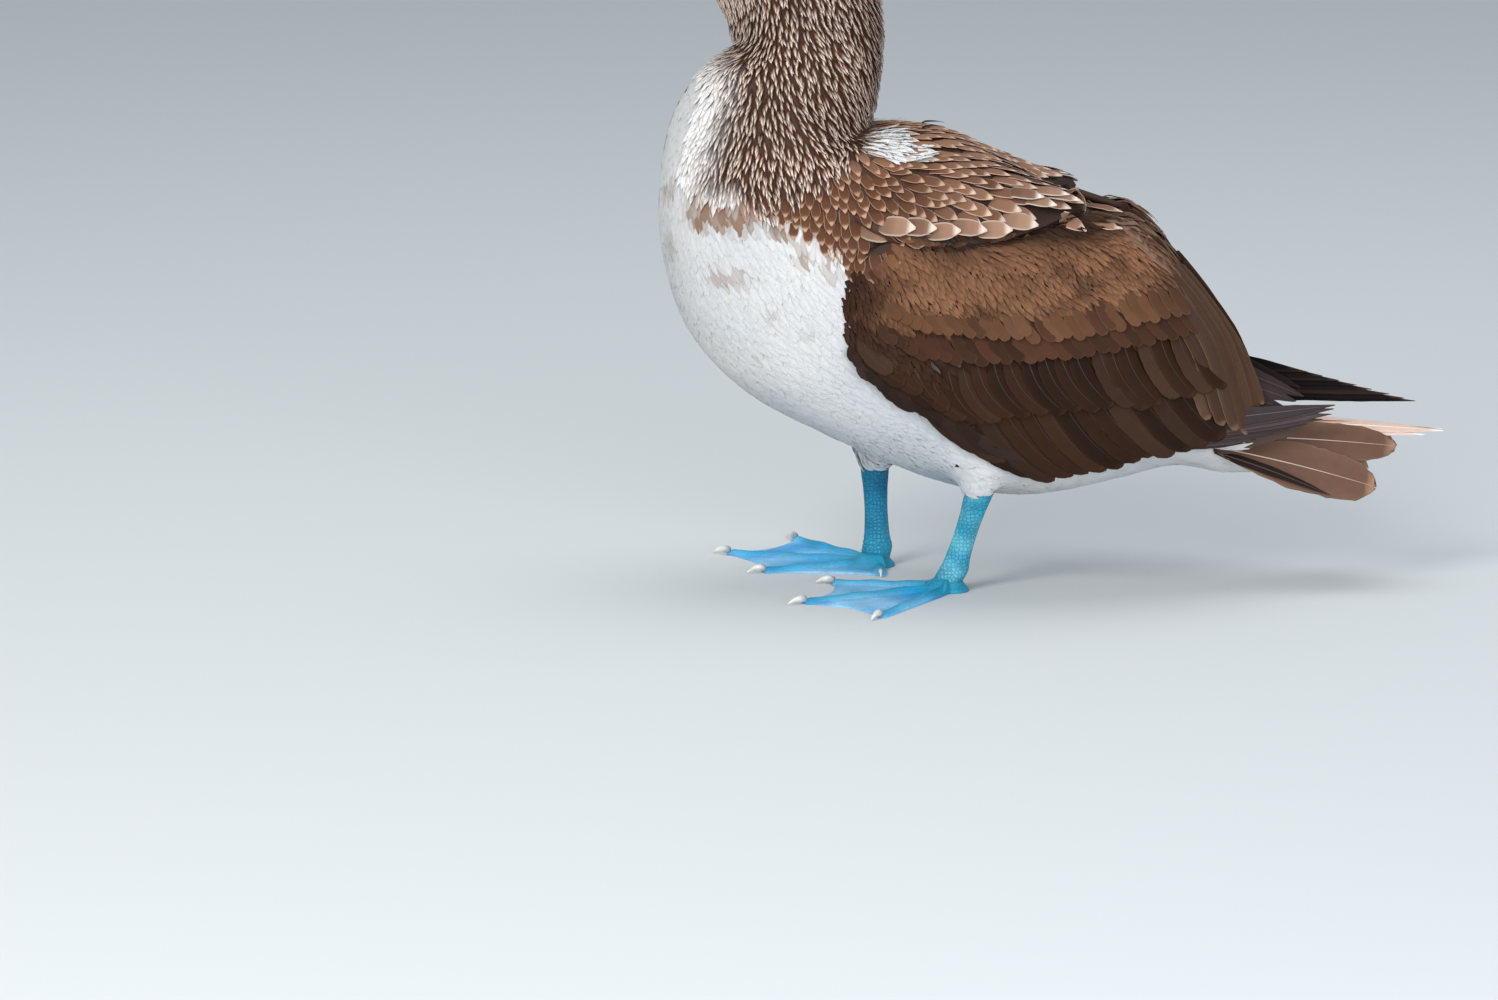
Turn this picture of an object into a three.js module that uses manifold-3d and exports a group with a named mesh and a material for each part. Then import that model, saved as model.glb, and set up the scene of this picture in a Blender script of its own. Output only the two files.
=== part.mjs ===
// A blue-footed booby (Sula nebouxii), an adult standing on both webbed feet, life size.
// Units are millimetres and +Z is up. The bird faces -X, so its left side is -Y.
// It is laid out in a side-view frame whose X is measured from the hip, with the floor at Z = 0, and is moved
// at the end so that the middle of its bounding box stands over the origin.

import * as THREE from 'three';
import Module from 'manifold-3d';
import { mergeVertices } from 'three/addons/utils/BufferGeometryUtils.js';

const wasm = await Module();
wasm.setup();

const GAP = 0.3; // between neighbouring pieces
const SIDES = { left: -1, right: 1 }; // the sign of Y on each side of the bird

// Plumage, skin and horn: the sRGB colour and how rough it is.
const WHITE_DOWN = { color: '#e9eaeb', roughness: 0.9 };
const STREAKED_BROWN = { color: '#8d725f', roughness: 0.85 };
const WING_BROWN = { color: '#50372a', roughness: 0.75 };
const TAIL_BROWN = { color: '#86705f', roughness: 0.75 };
const WEB_BLUE = { color: '#3f94d2', roughness: 0.5 };
const SHANK_BLUE = { color: '#2b8fae', roughness: 0.5 };
const BILL_SLATE = { color: '#5c6d78', roughness: 0.4 };
const CLAW_HORN = { color: '#b9b3a6', roughness: 0.45 };
const IRIS_YELLOW = { color: '#d8b83c', roughness: 0.15 };

// The outline of head, neck and trunk, from the bill's base back to the tail's root. Each row is one flat
// section: [back X, back Z, belly X, belly Z, half width, share of the way down that is widest, roundness].
const TRUNK = [
  [-141, 457, -139, 427, 14.5, 0.5, 2.1],
  [-131, 463, -137, 418, 19, 0.5, 2.2],
  [-117, 469, -134, 409, 23.5, 0.5, 2.3],
  [-99, 473, -130, 400, 27, 0.5, 2.3],
  [-78, 471, -126, 391, 31, 0.5, 2.2],
  [-57, 462, -121, 381, 34.5, 0.5, 2.1],
  [-39, 446, -116, 370, 37.5, 0.5, 2],
  [-24, 423, -112, 361, 40, 0.5, 2],
  [-15, 393, -110, 355, 42.5, 0.5, 2],
  [-12, 362, -116, 348, 47, 0.5, 2],
  [-14, 335, -134, 335, 54, 0.5, 2],
  [-18, 315, -150, 309, 62, 0.48, 2],
  [-20, 304, -158, 272, 69, 0.48, 2.05],
  [-12, 303, -158, 222, 75, 0.48, 2.1],
  [6, 303, -141, 168, 78, 0.48, 2.15],
  [30, 299, -104, 127, 80, 0.5, 2.2],
  [58, 287, -54, 99, 80, 0.5, 2.2],
  [86, 269, 2, 74, 77, 0.5, 2.2],
  [113, 248, 56, 56, 70, 0.5, 2.2],
  [140, 222, 103, 59, 60, 0.5, 2.2],
  [166, 193, 144, 68, 49, 0.5, 2.1],
  [192, 163, 180, 76, 39, 0.5, 2],
  [218, 137, 213, 71, 31, 0.5, 2],
  [242, 120, 239, 73, 24, 0.5, 2],
  [265, 109, 263, 80, 17, 0.5, 2],
  [284, 103, 283, 89, 9, 0.5, 2],
];
const NECK_TOP = 5.9; // row at the nape and throat, where the head begins
const NECK_ROOT = 10.1; // row at the crease between nape and mantle
const TAIL_ROOT = 22.4; // row just behind the folded wings

// The smooth hull that both folded wings lie on: [X, top Z, bottom Z, half width].
const WING_HULL = [
  [-60, 280, 110, 74],
  [-25, 296, 98, 86],
  [20, 301, 82, 92],
  [60, 293, 66, 92],
  [100, 275, 58, 88],
  [140, 257, 60, 80],
  [152, 253.5, 63, 76],
  [170, 239, 67, 70],
  [190, 209, 72, 61],
  [206, 178, 77, 54],
  [222, 140, 82, 46],
  [240, 98, 86, 36],
];
const HULL_POWER = 2.3;
const HULL_RIM = 0.995; // the hull closes at its rim, so no point is laid nearer to it than this share
const ARM = { thick: 16, thin: 4, rearShare: 0.5, rimSink: 1.2 }; // the folded arm, from shoulder to hand

// The folded wing's edges in side view, as [X, Z].
const LEADING_EDGE = [[-33, 228], [-43, 196], [-38, 168], [-20, 144], [6, 126], [36, 108], [66, 94]];
const TRAILING_EDGE = [[150, 252.5], [167, 240], [186, 213], [203, 181], [217, 149], [227, 122]];
const WING_TOP = [[-33, 228], [5, 252], [58, 266], [108, 264], [150, 252.5]];
const WING_FOOT = [[66, 94], [112, 97], [160, 102], [200, 110], [227, 122]];

// How wide a feather is along its length, as [share of length, share of full half width].
const ROUND_TIP = [[0, 0.6], [0.35, 0.95], [0.75, 1], [0.93, 0.62], [1, 0.2]];
const POINTED_TIP = [[0, 0.55], [0.35, 1], [0.7, 0.72], [0.9, 0.4], [1, 0.08]];
const COVERT_TIP = [[0, 0.75], [0.38, 1], [0.84, 0.78], [1, 0.24]];
const VANE_THICK = 0.7;
const TILE_TILT = 0.12; // radians that each vane lies tilted over the next, like roof tiles

// Tiers of feathers across the wing, from the outer coverts in to the flight feathers. Each has the roots and
// tips of its first and last feather as [X, Z], half the feathers' width, and their heights off the hull at
// the sunk root, just past it and at the tip.
const WING_TIERS = [
  {
    count: 9, half: 8.2, shape: COVERT_TIP, lifts: [-2, 4.4, 5],
    roots: [[-8, 188], [134, 194]], tips: [[22, 148], [158, 150]],
  },
  {
    count: 10, half: 8, shape: COVERT_TIP, lifts: [-2.5, 2, 2.2],
    roots: [[8, 156], [148, 164]], tips: [[44, 117], [180, 119]],
  },
  {
    count: 12, half: 7.6, shape: ROUND_TIP, lifts: [-4, -0.8, -1],
    roots: [[34, 122], [182, 138]], tips: [[70, 88], [217, 103]],
  },
];
const TIER_SAG = 7; // how far each tier's middle hangs below the line between its ends
// The innermost flight feathers, laid side by side in from the wing's rear edge. shares are the places along
// that edge through which each one runs; its tip lies tipStep short of the one outside it.
const TERTIALS = {
  count: 4, first: 5, step: 7.5, inward: [0.85, 0.5], shares: [0.06, 0.3, 0.55, 0.8, 1.12], tipStep: 0.06,
  half: 6.6, lifts: [-3, 2, 2.4],
};
// The long outer flight feathers, whose tips cross over the tail. Each wing's bundle is given by the roots
// and tips along it, from its outermost feather to its innermost. The left wing covers more of its own.
const PRIMARIES = {
  left: {
    roots: [[150, -52, 112], [150, -52, 109], [150, -52, 106]],
    tips: [[284, -27, 121], [278, -31, 113], [250, -36, 105]],
  },
  right: {
    roots: [[158, 52, 120], [158, 52, 133], [158, 52, 146]],
    tips: [[340, 16, 116], [301, 23, 126], [262, 30, 136]],
  },
};
const PRIMARY = { count: 5, half: 8, step: 1.1, bow: 7, lean: [0.12, 0.35] };

// The mantle's cape: feathers of shoulder and back that lie over the folded wings' upper edges, in one piece
// from side to side. Its lower border in side view, from the breast back, as [X, Z], and its reach along the
// ridge of the back.
const CAPE_BORDER = [
  [-44, 262], [-24, 246], [-4, 239], [22, 236], [50, 237], [78, 242], [98, 248], [116, 254],
];
const CAPE = {
  ridge: [-34, 98], ridgeLift: [-4, -15], borderLift: 4, thin: 1.6, deep: 24, borderBend: 1.7,
};
// The large feathers along the cape. share is how far down it they root and span how far along it they reach.
const SCAPULARS = [
  { count: 6, share: 0.5, span: [0.16, 0.8], long: 38, drop: 16, half: 8.4, lifts: [-1, 6.6, 6.6] },
  { count: 7, share: 0.76, span: [0.12, 0.92], long: 40, drop: 10, half: 8.6, lifts: [1, 4.8, 4.4] },
];

// Tail feathers of one side, central pair first: [X, distance from the middle, Z] of the tip and half width.
const TAIL_TIPS = [
  [355, 6, 99, 8.2],
  [328, 11, 95, 11],
  [324, 20, 85, 11.5],
  [318, 29, 75, 11.5],
  [308, 37, 66, 11],
  [289, 43, 62, 10],
];
const TAIL = { root: [232, 4, 107], spread: 1.8, layer: 1.3, slope: 0.55, firstSlope: 0.35, lastSlope: 1.3 };

const EYE = { x: -120, z: 453, out: 17, radius: 7.5, lid: 1.5, lidOut: 4.4 };
const GAPE = { long: 22, high: 0.8, rise: 0.6, keep: 26 }; // the slit of the mouth, outside a solid middle
const BILL = { length: 103, slope: 0.075, base: [-140.3, 440], groove: 0.9 };
// Along the bill: [share of its length, height above the mouth line, depth below it, half width].
const BILL_ROWS = [
  [0, 17, 13, 13.5],
  [0.2, 15.2, 11.4, 11.3],
  [0.45, 12.2, 8.6, 8.6],
  [0.68, 9, 5.8, 6.2],
  [0.86, 6.4, 3.6, 4.2],
  [0.96, 3.9, 1.8, 2.6],
  [1, 1.2, 0.7, 1.2],
];

// Each leg: where its scaled shank meets the feathers and the foot, and how far the foot is turned outwards.
const LEGS = {
  left: { heel: [50, -41, 62], ankle: [33, -41.5, 9.5], heading: 24 },
  right: { heel: [-16, 41, 64], ankle: [-14, 41.5, 9.5], heading: 20 },
};
// Up the scaled shank: [share of the way from ankle to heel, half depth, half width].
const SHANK_ROWS = [
  [0, 10.5, 7.6],
  [0.08, 10, 7.2],
  [0.22, 8.4, 5.5],
  [0.5, 7.6, 5],
  [0.8, 8.1, 5.5],
  [1, 9.2, 7],
];
// Up the feathered thigh from the heel: [height, half depth, half width].
const THIGH_ROWS = [
  [0, 9.8, 8],
  [6, 13, 11.5],
  [14, 18, 16],
  [26, 24, 20],
  [44, 27, 21],
];
const THIGH_LEAN = 0.12; // how far it leans back as it rises
// Toes of the totipalmate foot: [name, degrees outwards from the foot's heading, length from the ankle].
const TOES = [
  ['hind', -112, 36],
  ['inner', -38, 80],
  ['middle', 0, 106],
  ['outer', 37, 100],
];
const WEB = {
  thick: 1.6, toeHigh: 6, tipHigh: 3.7, toeWide: 4.4, moundHigh: 9, moundReach: 9, heelReach: 11.5, sag: 0.09,
};
const CLAW = { long: 11, root: 2.3, flat: 0.85, hindScale: 0.7, hindLow: 0.96 };
// Along a claw: [share of its length, height of its middle, share of its thickness].
const CLAW_ROWS = [
  [0, 3.1, 1],
  [0.4, 3.2, 0.84],
  [0.78, 2.2, 0.5],
  [1, 1, 0.12],
];

const clamp = (value, low, high) => Math.min(Math.max(value, low), high);
const mix = (a, b, share) => a + (b - a) * share;
const vector = (x, y, z) => new THREE.Vector3(x, y, z);
const radians = THREE.MathUtils.degToRad;

// Smooth values through a table's rows. place counts rows, so 2.5 is half way between rows 2 and 3.
function rowAt(rows, place) {
  const last = rows.length - 1;
  const start = clamp(Math.floor(place), 0, last - 1);
  const f = place - start;
  const [a, b, c, d] = [-1, 0, 1, 2].map((step) => rows[clamp(start + step, 0, last)]);
  return b.map((_, k) => {
    const bend = 2 * a[k] - 5 * b[k] + 4 * c[k] - d[k];
    const twist = 3 * b[k] - a[k] - 3 * c[k] + d[k];
    return 0.5 * (2 * b[k] + (c[k] - a[k]) * f + bend * f * f + twist * f * f * f);
  });
}

// The row number at which a table's first column reaches x.
function placeOf(rows, x) {
  const last = rows.length - 1;
  const i = clamp(rows.findIndex((row) => row[0] > x) - 1, 0, last - 1);
  const start = x >= rows[last][0] ? last - 1 : i;
  return start + (x - rows[start][0]) / (rows[start + 1][0] - rows[start][0]);
}

// A point on head, neck or trunk. row runs from bill to tail; turn is 0 on the back, 0.25 on the left side,
// 0.5 on the belly and 0.75 on the right side. grow moves it outwards.
function trunkPoint(row, turn, grow = 0) {
  const [backX, backZ, bellyX, bellyZ, half, widest, power] = rowAt(TRUNK, row);
  const angle = 2 * Math.PI * turn;
  const up = Math.cos(angle);
  const out = Math.sin(angle);
  const height = Math.hypot(backX - bellyX, backZ - bellyZ);
  const [upX, upZ] = [(backX - bellyX) / height, (backZ - bellyZ) / height];
  const reach = (up > 0 ? height * widest : height * (1 - widest)) + grow;
  const rise = Math.sign(up) * Math.abs(up) ** (2 / power) * reach;
  const side = -Math.sign(out) * Math.abs(out) ** (2 / power) * (half + grow);
  const middle = height * widest;
  return vector(backX + upX * (rise - middle), side, backZ + upZ * (rise - middle));
}

// Half width of the wing hull at a point of the side view.
function hullReach(x, z) {
  const [, top, foot, half] = rowAt(WING_HULL, placeOf(WING_HULL, x));
  const middle = (top + foot) / 2;
  const share = Math.min(Math.abs((z - middle) / ((top - foot) / 2)), HULL_RIM);
  return half * (1 - share ** HULL_POWER) ** (1 / HULL_POWER);
}

// A point of the hull on one side, and its outward normal.
function hullPoint(x, z, side, lift = 0) {
  const step = 1.5;
  const slopeX = (hullReach(x + step, z) - hullReach(x - step, z)) / (2 * step);
  const slopeZ = (hullReach(x, z + step) - hullReach(x, z - step)) / (2 * step);
  const normal = vector(-slopeX, side, -slopeZ).normalize();
  const point = vector(x, side * hullReach(x, z), z).addScaledVector(normal, lift);
  return { point, normal };
}

// Turns triangles of points into a manifold solid, facing outwards.
function solidFrom(triangles) {
  const flat = new Float32Array(triangles.flatMap((p) => [p.x, p.y, p.z]));
  const loose = new THREE.BufferGeometry().setAttribute('position', new THREE.BufferAttribute(flat, 3));
  const merged = mergeVertices(loose, 1e-3);
  const corners = [...merged.index.array];
  const clean = [];
  for (let i = 0; i < corners.length; i += 3) {
    const [a, b, c] = corners.slice(i, i + 3);
    if (a !== b && b !== c && c !== a) clean.push(a, b, c);
  }
  const make = (triVerts) => new wasm.Manifold(new wasm.Mesh({
    numProp: 3,
    vertProperties: merged.attributes.position.array,
    triVerts: new Uint32Array(triVerts),
  }));
  const solid = make(clean);
  return solid.volume() > 0 ? solid : make(clean.reverse());
}

// A closed three.js shape as a solid, moved to its place.
function solidOf(geometry, place) {
  const at = geometry.toNonIndexed().attributes.position;
  const corners = Array.from({ length: at.count }, (_, i) => vector().fromBufferAttribute(at, i));
  return solidFrom(corners.map((corner) => corner.add(place)));
}

// Joins closed rings of points into a solid with a flat or pointed cap at each end.
function loft(rings) {
  const count = rings[0].length;
  const triangles = [];
  rings.slice(1).forEach((ring, i) => {
    const before = rings[i];
    for (let k = 0; k < count; k++) {
      const next = (k + 1) % count;
      triangles.push(before[k], before[next], ring[next], before[k], ring[next], ring[k]);
    }
  });
  const middle = (ring) => ring.reduce((sum, p) => sum.add(p), vector(0, 0, 0)).divideScalar(count);
  const [first, last] = [rings[0], rings[rings.length - 1]];
  const [start, end] = [middle(first), middle(last)];
  for (let k = 0; k < count; k++) {
    const next = (k + 1) % count;
    triangles.push(first[next], first[k], start, last[k], last[next], end);
  }
  return solidFrom(triangles);
}

// A thin blade along stations of { point, normal, half }, split alike on both faces.
function blade(stations, thick) {
  const edges = stations.map(({ point, normal, half }, i) => {
    const before = stations[Math.max(i - 1, 0)].point;
    const after = stations[Math.min(i + 1, stations.length - 1)].point;
    const across = after.clone().sub(before).cross(normal).normalize();
    const corner = (reach, lift) =>
      point.clone().addScaledVector(across, reach).addScaledVector(normal, lift);
    const up = thick / 2;
    return [corner(-half, up), corner(half, up), corner(half, -up), corner(-half, -up)];
  });
  const triangles = [];
  const quad = (a, b, c, d) => triangles.push(a, b, c, a, c, d);
  edges.slice(1).forEach((far, i) => {
    const near = edges[i];
    quad(near[0], near[1], far[1], far[0]);
    quad(near[1], near[2], far[2], far[1]);
    triangles.push(near[3], far[2], near[2], near[3], far[3], far[2]);
    quad(near[3], near[0], far[0], far[3]);
  });
  const [root, tip] = [edges[0], edges[edges.length - 1]];
  quad(root[3], root[2], root[1], root[0]);
  quad(tip[0], tip[1], tip[2], tip[3]);
  return solidFrom(triangles);
}

// A curved slab between an outer and an inner grid of points.
function slab(outer, inner) {
  const [columns, rows] = [outer.length - 1, outer[0].length - 1];
  const triangles = [];
  const quad = (a, b, c, d) => triangles.push(a, b, c, a, c, d);
  for (let i = 0; i < columns; i++) {
    for (let j = 0; j < rows; j++) {
      quad(outer[i][j], outer[i + 1][j], outer[i + 1][j + 1], outer[i][j + 1]);
      triangles.push(inner[i][j], inner[i + 1][j + 1], inner[i + 1][j]);
      triangles.push(inner[i][j], inner[i][j + 1], inner[i + 1][j + 1]);
    }
  }
  for (let i = 0; i < columns; i++) {
    quad(outer[i + 1][0], outer[i][0], inner[i][0], inner[i + 1][0]);
    quad(outer[i][rows], outer[i + 1][rows], inner[i + 1][rows], inner[i][rows]);
  }
  for (let j = 0; j < rows; j++) {
    quad(outer[0][j], outer[0][j + 1], inner[0][j + 1], inner[0][j]);
    quad(outer[columns][j + 1], outer[columns][j], inner[columns][j], inner[columns][j + 1]);
  }
  return solidFrom(triangles);
}

// A vane's normal turned a little about its length, so that it lies over its neighbour like a roof tile.
const tilted = (normal, axis, tilt) => normal.clone().applyAxisAngle(axis.clone().normalize(), tilt);

// A feather along a path of [X, Z] points in side view, laid on the hull at the heights in lifts.
function laidFeather({ path, side, half, shape, lifts, tilt = TILE_TILT, thick = VANE_THICK }) {
  const axis = vector(path.at(-1)[0] - path[0][0], 0, path.at(-1)[1] - path[0][1]);
  const stations = shape.map(([f, wide]) => {
    const [x, z] = rowAt(path, f * (path.length - 1));
    const lift = f === 0 ? lifts[0] : mix(lifts[1], lifts[2], f);
    const { point, normal } = hullPoint(x, z, side, lift);
    return { point, normal: tilted(normal, axis, side * tilt), half: half * wide };
  });
  return blade(stations, thick);
}

const join = (pieces) => wasm.Manifold.union(pieces);
const largest = (solid) => solid.decompose().sort((a, b) => b.volume() - a.volume())[0];

// Head, neck and trunk as one solid.
function trunkSolid(grow) {
  const around = 24;
  const places = [];
  for (let row = 0; row < TRUNK.length - 1; row += row < NECK_ROOT + 2 ? 0.68 : 0.8) places.push(row);
  places.push(TRUNK.length - 1);
  return loft(places.map((row) =>
    Array.from({ length: around }, (_, k) => trunkPoint(row, k / around, grow))));
}

// The plane of a trunk row: its normal points towards the tail.
function sectionPlane(row) {
  const [backX, backZ, bellyX, bellyZ] = rowAt(TRUNK, row);
  const normal = vector(backZ - bellyZ, 0, -(backX - bellyX)).normalize();
  return { normal, offset: normal.dot(vector(backX, 0, backZ)) };
}

// The stretch of the trunk between two rows, with half a gap taken off at each cut.
function stretch(whole, fromRow, toRow) {
  let cut = whole;
  if (fromRow !== null) {
    const { normal, offset } = sectionPlane(fromRow);
    cut = cut.trimByPlane(normal.toArray(), offset + GAP / 2);
  }
  if (toRow !== null) {
    const { normal, offset } = sectionPlane(toRow);
    cut = cut.trimByPlane(normal.clone().negate().toArray(), -offset + GAP / 2);
  }
  return cut;
}

// A ball for an eye, or a little larger for its socket.
function ball(centre, radius) {
  return solidOf(new THREE.SphereGeometry(radius, 14, 8).rotateX(Math.PI / 2), centre);
}

const eyeCentre = (side) => vector(EYE.x, side * EYE.out, EYE.z);

// The ring of lid skin round an eye.
function lidRing(side) {
  const geometry = new THREE.TorusGeometry(EYE.radius - GAP, EYE.lid, 5, 14).rotateX(Math.PI / 2);
  return solidOf(geometry, eyeCentre(side).add(vector(0, side * EYE.lidOut, 0)));
}

// The gape: the slit of the mouth that runs back from the bill under the eye.
function gapeSlit() {
  const wide = 4 * EYE.out;
  const middle = vector(BILL.base[0] + GAPE.long / 2 - 1, 0, BILL.base[1] + GAPE.rise);
  const slit = solidOf(new THREE.BoxGeometry(GAPE.long, wide, GAPE.high), middle);
  return slit.subtract(solidOf(new THREE.BoxGeometry(2 * GAPE.long, GAPE.keep, 10 * GAPE.high), middle));
}

function headSolid(whole) {
  let head = stretch(whole, null, NECK_TOP);
  for (const side of Object.values(SIDES)) {
    head = head.add(lidRing(side)).subtract(ball(eyeCentre(side), EYE.radius + GAP));
  }
  return largest(head.subtract(gapeSlit()));
}

// One half of the bill. level is 1 for the upper mandible, whose sides carry a long groove, and -1 for the
// lower.
function mandible(level) {
  const points = 10;
  const fullness = 0.9;
  const forward = vector(-1, 0, -BILL.slope).normalize();
  const up = vector(-forward.z, 0, forward.x).negate();
  const base = vector(BILL.base[0], 0, BILL.base[1]).addScaledVector(forward, GAP);
  const rings = BILL_ROWS.map(([share, above, below, half]) => {
    const high = level > 0 ? above : below;
    const centre = base.clone().addScaledVector(forward, share * BILL.length);
    return Array.from({ length: points }, (_, k) => {
      const angle = (Math.PI * k) / (points - 1);
      const groove = level > 0 && (k === 2 || k === points - 3) ? BILL.groove : 1;
      const rise = level * (GAP / 2 + high * Math.sin(angle) ** fullness * groove);
      return centre.clone().addScaledVector(up, rise).add(vector(0, half * Math.cos(angle) * groove, 0));
    });
  });
  return loft(rings);
}

// The arm and its small coverts: a patch between the wing's four edges, laid on the hull.
function wingCore(side) {
  const [columns, rows] = [12, 8];
  const edge = (points, f) => rowAt(points, f * (points.length - 1));
  const patch = (s, t) => {
    const [front, back] = [edge(LEADING_EDGE, t), edge(TRAILING_EDGE, t)];
    const [top, foot] = [edge(WING_TOP, s), edge(WING_FOOT, s)];
    return [0, 1].map((k) => {
      const above = mix(WING_TOP[0][k], WING_TOP.at(-1)[k], s);
      const below = mix(WING_FOOT[0][k], WING_FOOT.at(-1)[k], s);
      const corners = mix(above, below, t);
      return mix(front[k], back[k], s) + mix(top[k], foot[k], t) - corners;
    });
  };
  const layer = (inner) => Array.from({ length: columns + 1 }, (_, i) =>
    Array.from({ length: rows + 1 }, (_, j) => {
      const [s, t] = [i / columns, j / rows];
      const [x, z] = patch(s, t);
      const rim = i === 0 || i === columns || j === 0 || j === rows;
      const outside = rim ? ARM.rimSink : 0;
      const plump = mix(ARM.thick, ARM.thin, clamp(1.5 * t - 0.3, 0, 1)) * mix(1, ARM.rearShare, s);
      return hullPoint(x, z, side, inner ? -plump : -outside).point;
    }));
  return slab(layer(false), layer(true));
}

// The feathers of one tier.
function tier(side, { count, roots, tips, ...feather }) {
  return Array.from({ length: count }, (_, i) => {
    const f = i / (count - 1);
    const sag = TIER_SAG * Math.sin(Math.PI * f);
    const path = [roots, tips].map(([a, b]) => [mix(a[0], b[0], f), mix(a[1], b[1], f) - sag]);
    return laidFeather({ path, side, ...feather });
  });
}

// The tertials, which run down the wing's rear edge with stepped tips.
function tertials(side) {
  const { count, first, step, inward, shares, tipStep, half, lifts } = TERTIALS;
  return Array.from({ length: count }, (_, i) => {
    const inset = first + step * i;
    const path = shares.map((share, k) => {
      const short = k === shares.length - 1 ? tipStep * i : 0;
      const [x, z] = rowAt(TRAILING_EDGE, (share - short) * (TRAILING_EDGE.length - 1));
      return [x - inset * inward[0], z - inset * inward[1]];
    });
    return laidFeather({ path, side, half, shape: ROUND_TIP, lifts });
  });
}

// The bundle of primaries beyond the wing, laid one inside the other.
function primaries(side, { roots, tips }) {
  const normal = vector(PRIMARY.lean[0], side, PRIMARY.lean[1]).normalize();
  return Array.from({ length: PRIMARY.count }, (_, i) => {
    const f = i / (PRIMARY.count - 1);
    const [start, end] = [roots, tips].map((row) => vector(...rowAt(row, f * (row.length - 1))));
    const stations = POINTED_TIP.map(([share, wide]) => {
      const point = start.clone().lerp(end, share);
      point.y += side * (PRIMARY.bow * Math.sin(Math.PI * share) - PRIMARY.step * i);
      return { point, normal, half: PRIMARY.half * wide };
    });
    return blade(stations, VANE_THICK);
  });
}

// A point on one side of the cape: s runs back along it, t from the ridge of the back down to its border.
function capePoint(s, t, side, drop = 0, grow = 0) {
  const border = rowAt(CAPE_BORDER, s * (CAPE_BORDER.length - 1));
  const x = mix(mix(...CAPE.ridge, s), border[0], Math.sqrt(t)) + grow * (2 * s - 1);
  const [, top] = rowAt(WING_HULL, placeOf(WING_HULL, x));
  const z = mix(top, border[1], t ** CAPE.borderBend) - grow * t;
  const lift = mix(mix(...CAPE.ridgeLift, s), CAPE.borderLift, Math.sin((Math.PI / 2) * t)) + drop;
  if (t === 0) return { x, z, point: vector(x, 0, top + lift) };
  return { x, z, point: hullPoint(x, z, side, lift).point };
}

// The cape, or a larger one that keeps the wings clear of it.
function capeSolid(grow = 0) {
  const [columns, rows] = [12, 5];
  const layer = (inner) => Array.from({ length: columns + 1 }, (_, i) =>
    Array.from({ length: 2 * rows + 1 }, (_, j) => {
      const t = Math.abs(j - rows) / rows;
      const thick = mix(CAPE.deep, CAPE.thin, t) + grow;
      return capePoint(i / columns, t, j < rows ? -1 : 1, inner ? -thick : grow, grow).point;
    }));
  return slab(layer(false), layer(true));
}

// The large feathers along one side of the cape, steeper towards the rear.
function scapulars(side, grow = 0) {
  const steeper = [0.5, 1.6];
  const feather = { side, shape: COVERT_TIP, tilt: -TILE_TILT, thick: VANE_THICK + 2 * grow };
  return SCAPULARS.flatMap(({ count, share, span, long, drop, half, lifts }) =>
    Array.from({ length: count }, (_, i) => {
      const f = i / (count - 1);
      const { x, z } = capePoint(mix(...span, f), share, side);
      const path = [[x - grow, z], [x + long + grow, z - mix(...steeper, f) * drop]];
      return laidFeather({ ...feather, path, half: half + grow, lifts });
    }));
}

// One side of the tail, each feather a layer under the one before it and fanned out towards its tip.
function tailFeathers(side) {
  return TAIL_TIPS.map(([x, out, z, half], i) => {
    const level = TAIL.layer * (2 * i + (side < 0 ? 0 : 1));
    const start = vector(TAIL.root[0], side * (TAIL.root[1] + TAIL.spread * i), TAIL.root[2] - level);
    const end = vector(x, side * out, z - (side < 0 ? 0 : TAIL.layer));
    const slope = TAIL.slope * Math.min(TAIL.firstSlope + i / 2, TAIL.lastSlope);
    const shape = i === 0 ? POINTED_TIP : COVERT_TIP;
    const stations = shape.map(([share, wide]) => ({
      point: start.clone().lerp(end, share),
      normal: vector(0, side * slope * share, 1).normalize(),
      half: half * wide,
    }));
    return blade(stations, VANE_THICK);
  });
}

// Unit vector on the floor, turned outwards from straight ahead.
function heading(side, degrees) {
  const angle = radians(degrees);
  return vector(-Math.cos(angle), side * Math.sin(angle), 0);
}

// How far the web reaches from the ankle in one direction, in degrees outwards from the foot's heading.
function webReach(degrees) {
  const toes = TOES.map(([, angle, long]) => ({ angle, long }));
  const next = toes.findIndex(({ angle }) => angle >= degrees);
  const beside = (toe) => {
    const apart = Math.abs(degrees - toe.angle);
    const away = Math.sin(radians(Math.min(apart, 360 - apart, 90)));
    return Math.max(WEB.heelReach, Math.min(toe.long, WEB.toeWide / Math.max(away, 0.01)));
  };
  if (next <= 0) return Math.max(beside(toes[0]), beside(toes.at(-1)));
  const [a, b] = [toes[next - 1], toes[next]];
  const between = radians(b.angle - a.angle);
  const past = radians(degrees - a.angle);
  const chord = (a.long * b.long * Math.sin(between))
    / (a.long * Math.sin(past) + b.long * Math.sin(between - past));
  const dip = 1 - WEB.sag * Math.sin((Math.PI * past) / between);
  return Math.max(chord * dip, beside(a), beside(b));
}

// Height of the foot's upper surface: a thin web, a ridge along each toe and the mound under the shank.
function footHeight(degrees, radius) {
  const ridges = TOES.map(([, angle, long]) => {
    const aside = radius * Math.sin(radians(Math.min(Math.abs(degrees - angle), 90)));
    const past = clamp(radius / long, 0, 1);
    return mix(WEB.toeHigh, WEB.tipHigh, past) * Math.exp(-((aside / WEB.toeWide) ** 2));
  });
  const beyond = Math.max(radius / WEB.moundReach - 1, 0);
  const mound = WEB.moundHigh * Math.exp(-(beyond ** 2));
  return Math.max(WEB.thick, mound, ...ridges);
}

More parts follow.
